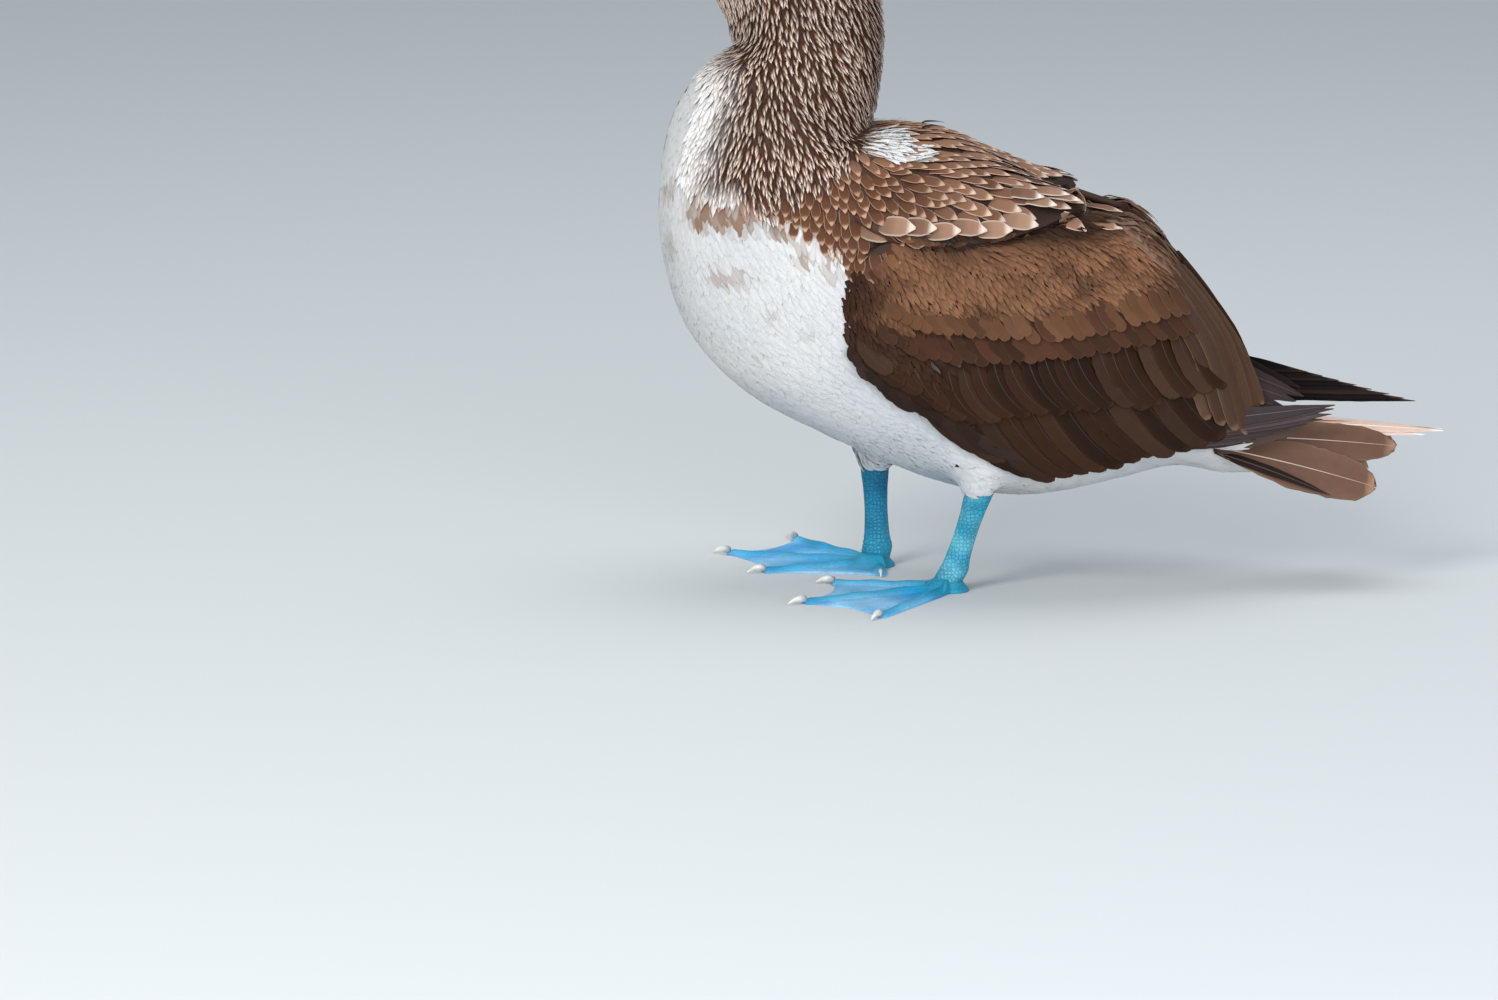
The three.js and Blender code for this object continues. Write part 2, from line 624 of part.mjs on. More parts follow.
// A webbed foot: a fan of points round the ankle, closer together beside each toe, over a flat sole.
function footSolid(side, { ankle, heading: turned }) {
  const besideToe = [-9, -2.6, 0, 2.6, 9];
  const between = [-92, -75, -56, -19, 18.5, 62, 90, 130, 180, 215];
  const shares = [0, 0.09, 0.2, 0.4, 0.66, 0.88, 1];
  const toes = TOES.flatMap(([, angle]) => besideToe.map((step) => angle + step));
  const bearings = [...toes, ...between].sort((a, b) => a - b);
  const at = (degrees, share, high) => {
    const bearing = degrees > 180 ? degrees - 360 : degrees;
    const radius = webReach(bearing) * share;
    const z = high === undefined ? footHeight(bearing, radius) : high;
    return heading(side, turned + degrees).multiplyScalar(radius).add(vector(ankle[0], ankle[1], z));
  };
  const triangles = [];
  bearings.forEach((a, i) => {
    const b = bearings[(i + 1) % bearings.length];
    for (let k = 1; k < shares.length; k++) {
      const [p, q] = [shares[k - 1], shares[k]];
      triangles.push(at(a, p), at(a, q), at(b, q), at(a, p), at(b, q), at(b, p));
    }
    triangles.push(at(a, 1), at(a, 1, 0), at(b, 1, 0), at(a, 1), at(b, 1, 0), at(b, 1));
    triangles.push(at(a, 1, 0), at(a, 0, 0), at(b, 1, 0));
  });
  return solidFrom(triangles);
}

function clawSolid(side, { ankle, heading: turned }, [name, angle, long]) {
  const [scale, low] = name === 'hind' ? [CLAW.hindScale, CLAW.hindLow] : [1, 1];
  const out = heading(side, turned + angle);
  const across = vector(-out.y, out.x, 0);
  const start = vector(ankle[0], ankle[1], 0).addScaledVector(out, long + GAP);
  const around = 6;
  return loft(CLAW_ROWS.map(([share, high, wide]) => Array.from({ length: around }, (_, k) => {
    const turn = (2 * Math.PI * k) / around;
    const radius = CLAW.root * wide * scale;
    return start.clone()
      .addScaledVector(out, share * CLAW.long * scale)
      .addScaledVector(across, radius * CLAW.flat * Math.cos(turn))
      .add(vector(0, 0, high * low + radius * Math.sin(turn)));
  })));
}

// The scaled shank between foot and feathers, as level rings.
function shankSolid({ heel, ankle }) {
  const around = 14;
  return loft(SHANK_ROWS.map(([share, deep, wide]) => {
    const centre = vector(...ankle).lerp(vector(...heel), share);
    return Array.from({ length: around }, (_, k) => {
      const turn = (2 * Math.PI * k) / around;
      return centre.clone().add(vector(deep * Math.cos(turn), wide * Math.sin(turn), 0));
    });
  }));
}

// The feathered thigh, from the heel up into the belly.
function thighSolid({ heel }, grownTrunk) {
  const around = 18;
  const start = vector(...heel).add(vector(0, 0, GAP));
  const thigh = loft(THIGH_ROWS.map(([rise, deep, wide]) => Array.from({ length: around }, (_, k) => {
    const turn = (2 * Math.PI * k) / around;
    const back = rise * THIGH_LEAN + deep * Math.cos(turn);
    return start.clone().add(vector(back, wide * Math.sin(turn), rise));
  })));
  return largest(thigh.subtract(grownTrunk));
}

const bird = new THREE.Group();

function addNode(name, solid, finish) {
  const { vertProperties, triVerts, numProp } = solid.getMesh();
  const geometry = new THREE.BufferGeometry();
  const positions = new Float32Array((vertProperties.length / numProp) * 3);
  for (let i = 0; i < positions.length / 3; i++) {
    positions.set(vertProperties.subarray(i * numProp, i * numProp + 3), i * 3);
  }
  geometry.setAttribute('position', new THREE.BufferAttribute(positions, 3));
  geometry.setIndex(new THREE.BufferAttribute(new Uint32Array(triVerts), 1));
  geometry.computeVertexNormals();
  const material = new THREE.MeshStandardMaterial({ ...finish, metalness: 0 });
  const mesh = new THREE.Mesh(geometry, material);
  mesh.name = name;
  bird.add(mesh);
}

const clearOfTrunk = 0.5; // a little over the gap, since the facets of two shapes differ
const clearOfCape = 0.9;
const trunk = trunkSolid(0);
const grownTrunk = trunkSolid(clearOfTrunk);
const grownCape = capeSolid(clearOfCape);

addNode('head', headSolid(trunk), STREAKED_BROWN);
addNode('bill_upper', mandible(1), BILL_SLATE);
addNode('bill_lower', mandible(-1), BILL_SLATE);
addNode('neck', stretch(trunk, NECK_TOP, NECK_ROOT), STREAKED_BROWN);
const mantle = [capeSolid(), ...scapulars(SIDES.left), ...scapulars(SIDES.right)];
addNode('torso', largest(join([stretch(trunk, NECK_ROOT, TAIL_ROOT), ...mantle])), WHITE_DOWN);
const fan = [...tailFeathers(SIDES.left), ...tailFeathers(SIDES.right)];
addNode('tail', largest(join([stretch(trunk, TAIL_ROOT, null), ...fan])), TAIL_BROWN);

for (const [name, side] of Object.entries(SIDES)) {
  const leg = LEGS[name];
  addNode(`eye_${name}`, ball(eyeCentre(side), EYE.radius), IRIS_YELLOW);
  const coverts = WING_TIERS.flatMap((row) => tier(side, row));
  const vanes = [...coverts, ...tertials(side), ...primaries(side, PRIMARIES[name])];
  const cover = join([grownTrunk, grownCape, ...scapulars(side, clearOfCape)]);
  const wing = join([wingCore(side), ...vanes]).subtract(cover);
  addNode(`wing_${name}`, largest(wing), WING_BROWN);
  addNode(`thigh_${name}`, thighSolid(leg, grownTrunk), WHITE_DOWN);
  addNode(`shank_${name}`, shankSolid(leg), SHANK_BLUE);
  addNode(`foot_${name}`, footSolid(side, leg), WEB_BLUE);
  for (const toe of TOES) addNode(`claw_${toe[0]}_${name}`, clawSolid(side, leg, toe), CLAW_HORN);
}

const bounds = new THREE.Box3().setFromObject(bird);
bird.position.set(-(bounds.min.x + bounds.max.x) / 2, -(bounds.min.y + bounds.max.y) / 2, -bounds.min.z);

export default bird;
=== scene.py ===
"""A life-size blue-footed booby, dressed in feathers over one skin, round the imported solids.

Shapes are worked out in millimetres in the side-view frame of the solids: the bird faces -X, its left side
is -Y and the floor is Z = 0. settle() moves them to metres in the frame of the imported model.
"""

import math

import bpy
import numpy as np
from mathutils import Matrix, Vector
from mathutils.bvhtree import BVHTree
from mathutils.kdtree import KDTree


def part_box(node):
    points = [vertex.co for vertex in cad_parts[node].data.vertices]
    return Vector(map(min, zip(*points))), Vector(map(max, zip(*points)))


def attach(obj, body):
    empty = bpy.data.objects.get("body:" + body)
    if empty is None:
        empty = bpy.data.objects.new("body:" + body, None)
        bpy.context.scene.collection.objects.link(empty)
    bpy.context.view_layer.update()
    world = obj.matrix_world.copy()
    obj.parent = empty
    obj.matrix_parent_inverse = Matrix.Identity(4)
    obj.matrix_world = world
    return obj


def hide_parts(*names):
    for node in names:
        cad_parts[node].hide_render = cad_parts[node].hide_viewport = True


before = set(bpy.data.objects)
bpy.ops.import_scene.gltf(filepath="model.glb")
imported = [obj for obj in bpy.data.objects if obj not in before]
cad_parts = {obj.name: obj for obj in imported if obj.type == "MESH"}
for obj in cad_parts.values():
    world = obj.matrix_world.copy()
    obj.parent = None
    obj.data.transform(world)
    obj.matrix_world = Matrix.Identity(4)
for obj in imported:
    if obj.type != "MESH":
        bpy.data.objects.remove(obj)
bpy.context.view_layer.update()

# Sizes, as in the solids. Each row of TRUNK is one flat section from the bill's base to the tail's root:
# back X, back Z, belly X, belly Z, half width, share of the way down that is widest, roundness.
TRUNK = np.array([
    [-141, 457, -139, 427, 14.5, 0.5, 2.1],
    [-131, 463, -137, 418, 19, 0.5, 2.2],
    [-117, 469, -134, 409, 23.5, 0.5, 2.3],
    [-99, 473, -130, 400, 27, 0.5, 2.3],
    [-78, 471, -126, 391, 31, 0.5, 2.2],
    [-57, 462, -121, 381, 34.5, 0.5, 2.1],
    [-39, 446, -116, 370, 37.5, 0.5, 2],
    [-24, 423, -112, 361, 40, 0.5, 2],
    [-15, 393, -110, 355, 42.5, 0.5, 2],
    [-12, 362, -116, 348, 47, 0.5, 2],
    [-14, 335, -134, 335, 54, 0.5, 2],
    [-18, 315, -150, 309, 62, 0.48, 2],
    [-20, 304, -158, 272, 69, 0.48, 2.05],
    [-12, 303, -158, 222, 75, 0.48, 2.1],
    [6, 303, -141, 168, 78, 0.48, 2.15],
    [30, 299, -104, 127, 80, 0.5, 2.2],
    [58, 287, -54, 99, 80, 0.5, 2.2],
    [86, 269, 2, 74, 77, 0.5, 2.2],
    [113, 248, 56, 56, 70, 0.5, 2.2],
    [140, 222, 103, 59, 60, 0.5, 2.2],
    [166, 193, 144, 68, 49, 0.5, 2.1],
    [192, 163, 180, 76, 39, 0.5, 2],
    [218, 137, 213, 71, 31, 0.5, 2],
    [242, 120, 239, 73, 24, 0.5, 2],
    [265, 109, 263, 80, 17, 0.5, 2],
    [284, 103, 283, 89, 9, 0.5, 2],
])
# The hull on which both folded wings lie: X, top Z, bottom Z, half width.
WING_HULL = np.array([
    [-60, 280, 110, 74],
    [-25, 296, 98, 86],
    [20, 301, 82, 92],
    [60, 293, 66, 92],
    [100, 275, 58, 88],
    [140, 257, 60, 80],
    [152, 253.5, 63, 76],
    [170, 239, 67, 70],
    [190, 209, 72, 61],
    [206, 178, 77, 54],
    [222, 140, 82, 46],
    [240, 98, 86, 36],
])
HULL_POWER = 2.3
LEADING_EDGE = [[-33, 228], [-43, 196], [-38, 168], [-20, 144], [6, 126], [36, 108], [66, 94]]
TRAILING_EDGE = [[150, 252.5], [167, 240], [186, 213], [203, 181], [217, 149], [227, 122]]
WING_TOP = [[-33, 228], [5, 252], [58, 266], [108, 264], [150, 252.5]]
WING_FOOT = [[66, 94], [112, 97], [160, 102], [200, 110], [227, 122]]
CAPE_BORDER = [[-44, 262], [-24, 246], [-4, 239], [22, 236], [50, 237], [78, 242], [98, 248], [116, 254]]
EYE = np.array([-120.0, 17.0, 453.0])
EYE_RADIUS = 7.5
SIDES = {"left": -1, "right": 1}
LEGS = {
    "left": {"heel": (50, -41, 62), "ankle": (33, -41.5, 9.5), "heading": 24},
    "right": {"heel": (-16, 41, 64), "ankle": (-14, 41.5, 9.5), "heading": 20},
}
MELT_ROUNDS = 60
# Up the thigh: height over the heel, half depth, half width.
THIGH_ROWS = [(0, 9.8, 8), (6, 13, 11.5), (14, 18, 16), (26, 24, 20), (44, 27, 21)]
PRIMARIES = {
    "left": {
        "roots": [[150, -52, 112], [150, -52, 109], [150, -52, 106]],
        "tips": [[284, -27, 121], [278, -31, 113], [250, -36, 105], [224, -40, 97]],
    },
    "right": {
        "roots": [[158, 52, 120], [158, 52, 133], [158, 52, 146]],
        "tips": [[340, 16, 116], [301, 23, 126], [262, 30, 136]],
    },
}

# The view of the photograph, used for the camera and to place markings as they lie in the side view.
ELEVATION = math.radians(11)
DISTANCE = 5000.0
PIXEL = 0.66  # mm that one pixel of the 1498 x 1000 frame covers
AIM = np.array([-99.7, 0, 52.4])
ZERO_PIXEL = (900, 578)  # the pixel of X = 0, Z = 0

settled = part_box("eye_left")
SHIFT = np.array((settled[0] + settled[1]) / 2) * 1000 - EYE * [1, -1, 1]


def settle(points):
    """Millimetres in the side-view frame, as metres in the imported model's frame."""
    return (np.asarray(points, float) + SHIFT) / 1000


# Small sums.

def unit(vectors):
    return vectors / np.maximum(np.linalg.norm(vectors, axis=-1, keepdims=True), 1e-9)


def smooth(value, low=0.0, high=1.0):
    share = np.clip((value - low) / (high - low), 0, 1)
    return share * share * (3 - 2 * share)


def blend(a, b, share):
    return a + (b - a) * np.asarray(share)[..., None]


def linear(colour):
    """An sRGB hex colour as linear red, green and blue."""
    channels = np.array([int(colour[i:i + 2], 16) for i in (1, 3, 5)]) / 255
    return np.where(channels <= 0.04045, channels / 12.92, ((channels + 0.055) / 1.055) ** 2.4)


def rows_at(table, place):
    """Smooth values through a table's rows; place counts rows, and 2.5 is half way between rows 2 and 3."""
    table, place = np.asarray(table, float), np.asarray(place, float)
    last = len(table) - 1
    start = np.clip(np.floor(place).astype(int), 0, last - 1)
    f = (place - start)[..., None]
    a, b, c, d = (table[np.clip(start + step, 0, last)] for step in (-1, 0, 1, 2))
    bend, twist = 2 * a - 5 * b + 4 * c - d, 3 * b - a - 3 * c + d
    return 0.5 * (2 * b + (c - a) * f + bend * f ** 2 + twist * f ** 3)


def drift(points, size, seed):
    """A soft random field from -1 to 1 whose swells are about size mm across."""
    rng = np.random.default_rng(seed)
    waves, phases = rng.normal(size=(7, 3)), rng.uniform(0, 2 * math.pi, 7)
    turns = np.asarray(points) @ (unit(waves) * rng.uniform(0.6, 1.5, (7, 1))).T * (math.pi / size)
    return np.sin(turns + phases).sum(-1) / 3.2


def inside(points, outline):
    """Which (x, y) points lie inside a closed outline."""
    x, y = points[..., 0], points[..., 1]
    found = np.zeros(x.shape, bool)
    for (ax, ay), (bx, by) in zip(outline, np.roll(outline, -1, axis=0)):
        crosses = (ay > y) != (by > y)
        found ^= crosses & (x < (bx - ax) * (y - ay) / (by - ay + 1e-12) + ax)
    return found


def in_view(points):
    """Pixels in the photograph's side view, with both sides of the bird seen from the left."""
    v = points[..., 2] * math.cos(ELEVATION) - np.abs(points[..., 1]) * math.sin(ELEVATION)
    return ZERO_PIXEL[0] + points[..., 0] / PIXEL, ZERO_PIXEL[1] - v / PIXEL


# Surfaces.

def trunk_point(row, turn, grow=0.0):
    """A point on head, neck or trunk: turn is 0 on the back, 0.25 left, 0.5 on the belly, 0.75 right."""
    back_x, back_z, belly_x, belly_z, half, widest, power = np.moveaxis(rows_at(TRUNK, row), -1, 0)
    up, out = np.cos(2 * math.pi * turn), np.sin(2 * math.pi * turn)
    height = np.hypot(back_x - belly_x, back_z - belly_z)
    up_x, up_z = (back_x - belly_x) / height, (back_z - belly_z) / height
    reach = height * np.where(up > 0, widest, 1 - widest) + grow
    rise = np.sign(up) * np.abs(up) ** (2 / power) * reach
    side = -np.sign(out) * np.abs(out) ** (2 / power) * (half + grow)
    return np.stack([back_x + up_x * (rise - height * widest), side,
                     back_z + up_z * (rise - height * widest)], -1)


def hull_reach(x, z):
    place = np.interp(x, WING_HULL[:, 0], np.arange(len(WING_HULL)))
    _, top, foot, half = np.moveaxis(rows_at(WING_HULL, place), -1, 0)
    share = np.minimum(np.abs((z - (top + foot) / 2) / ((top - foot) / 2)), 0.995)
    return half * (1 - share ** HULL_POWER) ** (1 / HULL_POWER)


def hull_point(x, z, side, lift=0.0):
    """A point on the wing's hull and the outward normal there."""
    step = 1.5
    slope_x = (hull_reach(x + step, z) - hull_reach(x - step, z)) / (2 * step)
    slope_z = (hull_reach(x, z + step) - hull_reach(x, z - step)) / (2 * step)
    normal = unit(np.stack([-slope_x, np.full(np.shape(x), float(side)), -slope_z], -1))
    point = np.stack([x, side * hull_reach(x, z), z], -1)
    return point + normal * np.asarray(lift)[..., None], normal


def wing_place(px, py):
    """X and Z on the wing's hull of a pixel of the side view."""
    x, v = (np.asarray(px, float) - ZERO_PIXEL[0]) * PIXEL, (ZERO_PIXEL[1] - np.asarray(py, float)) * PIXEL
    z = v / math.cos(ELEVATION)
    for _ in range(4):
        z = (v + hull_reach(x, z) * math.sin(ELEVATION)) / math.cos(ELEVATION)
    return x, z


# Meshes and pieces.

def mesh_object(name, points, faces):
    mesh = bpy.data.meshes.new(name)
    mesh.from_pydata(settle(points), [], faces)
    mesh.polygons.foreach_set("use_smooth", np.ones(len(mesh.polygons), bool))
    piece = bpy.data.objects.new(name, mesh)
    bpy.context.scene.collection.objects.link(piece)
    return piece


def mesh_points(mesh):
    """The mesh's points in millimetres in the side-view frame."""
    points = np.empty(len(mesh.vertices) * 3)
    mesh.vertices.foreach_get("co", points)
    return points.reshape(-1, 3) * 1000 - SHIFT


def tint(piece, colours):
    """Paints linear colours on the piece's points."""
    layer = piece.data.color_attributes.new("Tint", "FLOAT_COLOR", "POINT")
    rgba = np.concatenate([colours, np.ones((len(colours), 1))], 1)
    layer.data.foreach_set("color", rgba.astype(np.float32).ravel())


def unwrap(piece, name, places):
    """Adds a UV map with one place for each point of the mesh."""
    corners = np.empty(len(piece.data.loops), int)
    piece.data.loops.foreach_get("vertex_index", corners)
    layer = piece.data.uv_layers.new(name=name)
    layer.data.foreach_set("uv", places[corners].astype(np.float32).ravel())


def finish_piece(piece, finish, slot, *replaced):
    """Gives the piece its material and hides the nodes whose place it takes; slot is not used."""
    piece.data.materials.append(finish)
    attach(piece, "root")
    if replaced:
        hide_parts(*replaced)
    return piece


def tube(rings):
    """Points and faces of a surface through closed rings, with a fan over each end."""
    rings = np.asarray(rings, float)
    count, around = rings.shape[:2]
    first = np.arange(count - 1)[:, None] * around
    here, after = np.arange(around)[None], (np.arange(around) + 1)[None] % around
    faces = np.stack([first + here, first + after, first + around + after, first + around + here], -1)
    faces = faces.reshape(-1, 4).tolist()
    end = (count - 1) * around
    points = np.concatenate([rings.reshape(-1, 3), rings[:1].mean(1), rings[-1:].mean(1)])
    near, far = len(points) - 2, len(points) - 1
    for k in range(around):
        following = (k + 1) % around
        faces.append([following, k, near])
        faces.append([end + k, end + following, far])
    return points, faces


def slab(outer, inner):
    """Points and faces of a curved slab between two grids of points."""
    columns, rows = outer.shape[:2]
    index = np.arange(columns * rows).reshape(columns, rows)
    under = index + columns * rows

    def quads(a):
        return np.stack([a[:-1, :-1], a[1:, :-1], a[1:, 1:], a[:-1, 1:]], -1).reshape(-1, 4)

    rim = np.concatenate([index[:, 0], index[-1, 1:], index[-2::-1, -1], index[0, -2:0:-1]])
    ahead = np.roll(rim, -1)
    below = rim + columns * rows
    edge = np.stack([rim, below, np.roll(below, -1), ahead], -1)
    faces = np.concatenate([quads(index), quads(under)[:, ::-1], edge])
    return np.concatenate([outer.reshape(-1, 3), inner.reshape(-1, 3)]), faces.tolist()


# Materials

def material(name):
    """An empty node material and the function that adds a node to it."""
    made = bpy.data.materials.new(name)
    made.use_nodes = True
    tree = made.node_tree
    tree.nodes.clear()

    def add(kind, links=None, **settings):
        """Adds a node. Links join its sockets to others or give them a value; settings are its own."""
        node = tree.nodes.new(kind)
        for key, value in settings.items():
            if hasattr(node, key):
                setattr(node, key, value)
            else:
                node.inputs[key.replace("_", " ")].default_value = value
        for key, source in (links or {}).items():
            if isinstance(source, bpy.types.NodeSocket):
                tree.links.new(source, node.inputs[key])
            else:
                node.inputs[key].default_value = source
        return node

    return made, add


def rgb(colour):
    """The same colour as a socket wants it."""
    return (*linear(colour), 1.0)


KERATIN_IOR = 1.54
BARB_SLANT = 0.9  # how far the barbs lean from straight across towards the tip, as a slope


def feather_material(name, pitch, streak, bump, roughness, shine, through=0.0):
    """Keratin barbs: fine slanting lines from shaft to edge, matt when loose and satin when tightly zipped.

    pitch is the spacing of the barbs in mm. Real ones are 0.3 mm apart; coarser ones show in the picture.
    through is the share of light that thin pale vanes let through.
    """
    made, add = material(name)
    colour = add("ShaderNodeAttribute", attribute_name="Tint")
    place = add("ShaderNodeUVMap", uv_map="Barbs")
    parts = add("ShaderNodeSeparateXYZ", {"Vector": place.outputs["UV"]})
    across = add("ShaderNodeMath", {0: parts.outputs["X"]}, operation="ABSOLUTE")
    slanted = add("ShaderNodeMath", {0: across.outputs[0], 1: -BARB_SLANT, 2: parts.outputs["Y"]},
                  operation="MULTIPLY_ADD")
    line = add("ShaderNodeCombineXYZ", {"X": slanted.outputs[0]})
    barbs = add("ShaderNodeTexWave", {"Vector": line.outputs[0]}, Scale=0.314 / pitch, Distortion=0.0)
    geometry = add("ShaderNodeTexCoord")
    mottle = add("ShaderNodeTexNoise", {"Vector": geometry.outputs["Object"]}, Scale=160.0, Detail=3.0)
    both = add("ShaderNodeMath", {0: barbs.outputs["Fac"], 1: mottle.outputs["Fac"]}, operation="ADD")
    level = add("ShaderNodeMapRange", {"Value": both.outputs[0]}, From_Min=0.3, From_Max=1.7,
                To_Min=1 - streak, To_Max=1 + streak)
    shaded = add("ShaderNodeVectorMath", {0: colour.outputs["Color"], "Scale": level.outputs[0]},
                 operation="SCALE")
    raised = add("ShaderNodeBump", {"Height": barbs.outputs["Fac"]}, Strength=0.5, Distance=bump / 1000)
    surface = add("ShaderNodeBsdfPrincipled", {"Base Color": shaded.outputs[0], "Normal": raised.outputs[0]},
                  Roughness=roughness, IOR=KERATIN_IOR, Specular_IOR_Level=shine)
    glow = add("ShaderNodeBsdfTranslucent", {"Color": shaded.outputs[0]})
    both = add("ShaderNodeMixShader", {"Fac": through, 1: surface.outputs[0], 2: glow.outputs[0]})
    add("ShaderNodeOutputMaterial", {"Surface": both.outputs[0]})
    return made


DOWNY_FEATHER = feather_material("downy_feather_thin_keratin", 0.7, 0.03, 0.02, 0.9, 0.1, 0.3)
BODY_FEATHER = feather_material("body_feather_matt_keratin", 0.7, 0.1, 0.04, 0.85, 0.15)
FLIGHT_FEATHER = feather_material("flight_feather_satin_keratin", 0.9, 0.2, 0.06, 0.68, 0.08)


def skin_material():
    """Skin under the feathers and the bare face: finely wrinkled and a little oily."""
    made, add = material("bird_skin_fine_wrinkles")
    colour = add("ShaderNodeAttribute", attribute_name="Tint")
    place = add("ShaderNodeTexCoord")
    cells = add("ShaderNodeTexVoronoi", {"Vector": place.outputs["Object"]}, Scale=900.0)
    wrinkles = add("ShaderNodeTexNoise", {"Vector": place.outputs["Object"]}, Scale=420.0, Detail=4.0)
    height = add("ShaderNodeMath", {0: cells.outputs["Distance"], 1: wrinkles.outputs["Fac"]},
                 operation="ADD")
    raised = add("ShaderNodeBump", {"Height": height.outputs[0]}, Strength=0.6, Distance=0.0002)
    surface = add("ShaderNodeBsdfPrincipled", {"Base Color": colour.outputs["Color"],
                                               "Normal": raised.outputs[0]}, Roughness=0.65, IOR=1.4)
    add("ShaderNodeOutputMaterial", {"Surface": surface.outputs[0]})
    return made


BIRD_SKIN = skin_material()


# Where the colours lie

BROWN_DARK, BROWN_TIP, CINNAMON = linear("#4d2f1f"), linear("#e3cfc0"), linear("#7d5b45")
WHITE, WHITE_SHADE, TAN = linear("#ececea"), linear("#dcdfe2"), linear("#a08370")
MANTLE_BROWN, MANTLE_EDGE = linear("#553625"), linear("#b08c74")
WING_WARM, WING_DARK = linear("#7d573e"), linear("#352015")
SLATE, SLATE_DARK = linear("#45545f"), linear("#232b31")


def brown_share(points):
    """How brown the plumage of head, neck and mantle is, fading to the white breast."""
    px, py = in_view(points)
    py = py + 5 * drift(points, 14, 3)
    border = np.interp(px, [640, 690, 720, 750, 800, 835, 850, 875], [150, 180, 196, 206, 222, 250, 268, 300])
    front = np.interp(py, [-200, 20, 55, 80, 110, 150, 185], [560, 690, 716, 708, 700, 688, 676])
    fade = np.interp(py, [40, 100], [34, 66])
    return (1 - smooth(py, border - 8, border + 8)) * smooth(px, front - 12, front - 12 + fade)


WHITE_PATCHES = [(880, 150, 18, 13), (911, 160, 6, 7), (1046, 181, 15, 5)]


def white_share(points):
    """White patches where the neck meets the mantle, and beside the back."""
    px, py = in_view(points)
    found = np.zeros(px.shape)
    px, py = px + 3 * drift(points, 4, 61), py + 3 * drift(points, 4, 62)
    for cx, cy, wide, high in WHITE_PATCHES:
        found = np.maximum(found, 1 - smooth(np.hypot((px - cx) / wide, (py - cy) / high), 0.7, 1.15))
    return found


# Each mottle in the side view: pixel X, pixel Y, half width, half height, strength.
BREAST_MOTTLES = [
    (727, 263, 23, 9, 0.6), (765, 300, 9, 6, 0.3), (800, 320, 10, 6, 0.3), (750, 345, 8, 5, 0.3),
    (800, 243, 12, 9, 0.8), (833, 244, 9, 9, 0.9), (702, 202, 13, 12, 1.2), (738, 209, 28, 12, 1.4),
    (785, 220, 30, 8, 1.0), (674, 178, 7, 10, 0.6), (672, 230, 6, 18, 0.4), (825, 262, 14, 7, 0.5),
]


def mottle_share(points):
    """The faint tan mottles of the breast."""
    px, py = in_view(points)
    found = np.zeros(px.shape)
    for cx, cy, wide, high, strength in BREAST_MOTTLES:
        spot = 1 - smooth(np.hypot((px - cx) / wide, (py - cy) / high), 0.5, 1.3)
        found = np.maximum(found, spot * strength)
    return found * (0.75 + 0.35 * drift(points, 6, 8))


def body_colours(points):
    """Root, tip and edge colours of the body feathers that grow at these points."""
    brown = brown_share(points)
    white = blend(WHITE, WHITE_SHADE, 0.3 + 0.3 * drift(points, 30, 5))
    white = blend(white, TAN, np.clip(mottle_share(points), 0, 1))
    px, py = in_view(points)
    root = blend(white, blend(BROWN_DARK, CINNAMON, 1 - smooth(py, -90, 10)), brown)
    nape = smooth(px, 835, 880) * 0.3
    tip = blend(white, blend(BROWN_TIP, BROWN_DARK, nape), brown)
    patch = white_share(points)
    return blend(root, WHITE, patch), blend(tip, WHITE, patch), blend(root, WHITE, patch)


# The skin

def thigh_rings(leg, inset):
    """Rings round a thigh from the heel upwards, inset mm inside the down."""
    heights = np.linspace(0, len(THIGH_ROWS) - 1, 24)
    rise, deep, wide = np.moveaxis(rows_at(THIGH_ROWS, heights), -1, 0)
    turn = np.linspace(0, 2 * math.pi, 48, endpoint=False)[None]
    x = leg["heel"][0] + rise[:, None] * 0.12 + (deep[:, None] - inset) * np.cos(turn)
    y = leg["heel"][1] + (wide[:, None] - inset) * np.sin(turn)
    z = np.broadcast_to(leg["heel"][2] + 0.5 + rise[:, None], x.shape)
    return np.stack([x, y, z], -1)


def edge_at(line, share):
    return rows_at(line, np.asarray(share) * (len(line) - 1))


def arm_slab(side, inset):
    """The folded arm between the wing's four edges."""
    s, t = np.meshgrid(np.linspace(0, 1, 60), np.linspace(0, 1, 36), indexing="ij")
    front, back = edge_at(LEADING_EDGE, t), edge_at(TRAILING_EDGE, t)
    top, foot = edge_at(WING_TOP, s), edge_at(WING_FOOT, s)
    above = blend(np.array(WING_TOP[0]), np.array(WING_TOP[-1]), s)
    below = blend(np.array(WING_FOOT[0]), np.array(WING_FOOT[-1]), s)
    patch = blend(front, back, s) + blend(top, foot, t) - blend(above, below, t)
    centre = patch.reshape(-1, 2).mean(0)
    patch = centre + (patch - centre) * 0.985
    plump = (16 - 12 * np.clip(1.5 * t - 0.3, 0, 1)) * (1 - 0.5 * s)
    edge = np.minimum(np.minimum(s, 1 - s) * 14, np.minimum(t, 1 - t) * 9)
    rounding = 2.5 * (1 - np.clip(edge, 0, 1)) ** 2
    outer = hull_point(patch[..., 0], patch[..., 1], side, -inset - rounding)[0]
    inner = hull_point(patch[..., 0], patch[..., 1], side, -inset - np.maximum(plump - inset, 2.0))[0]
    return slab(outer[::side], inner[::side])


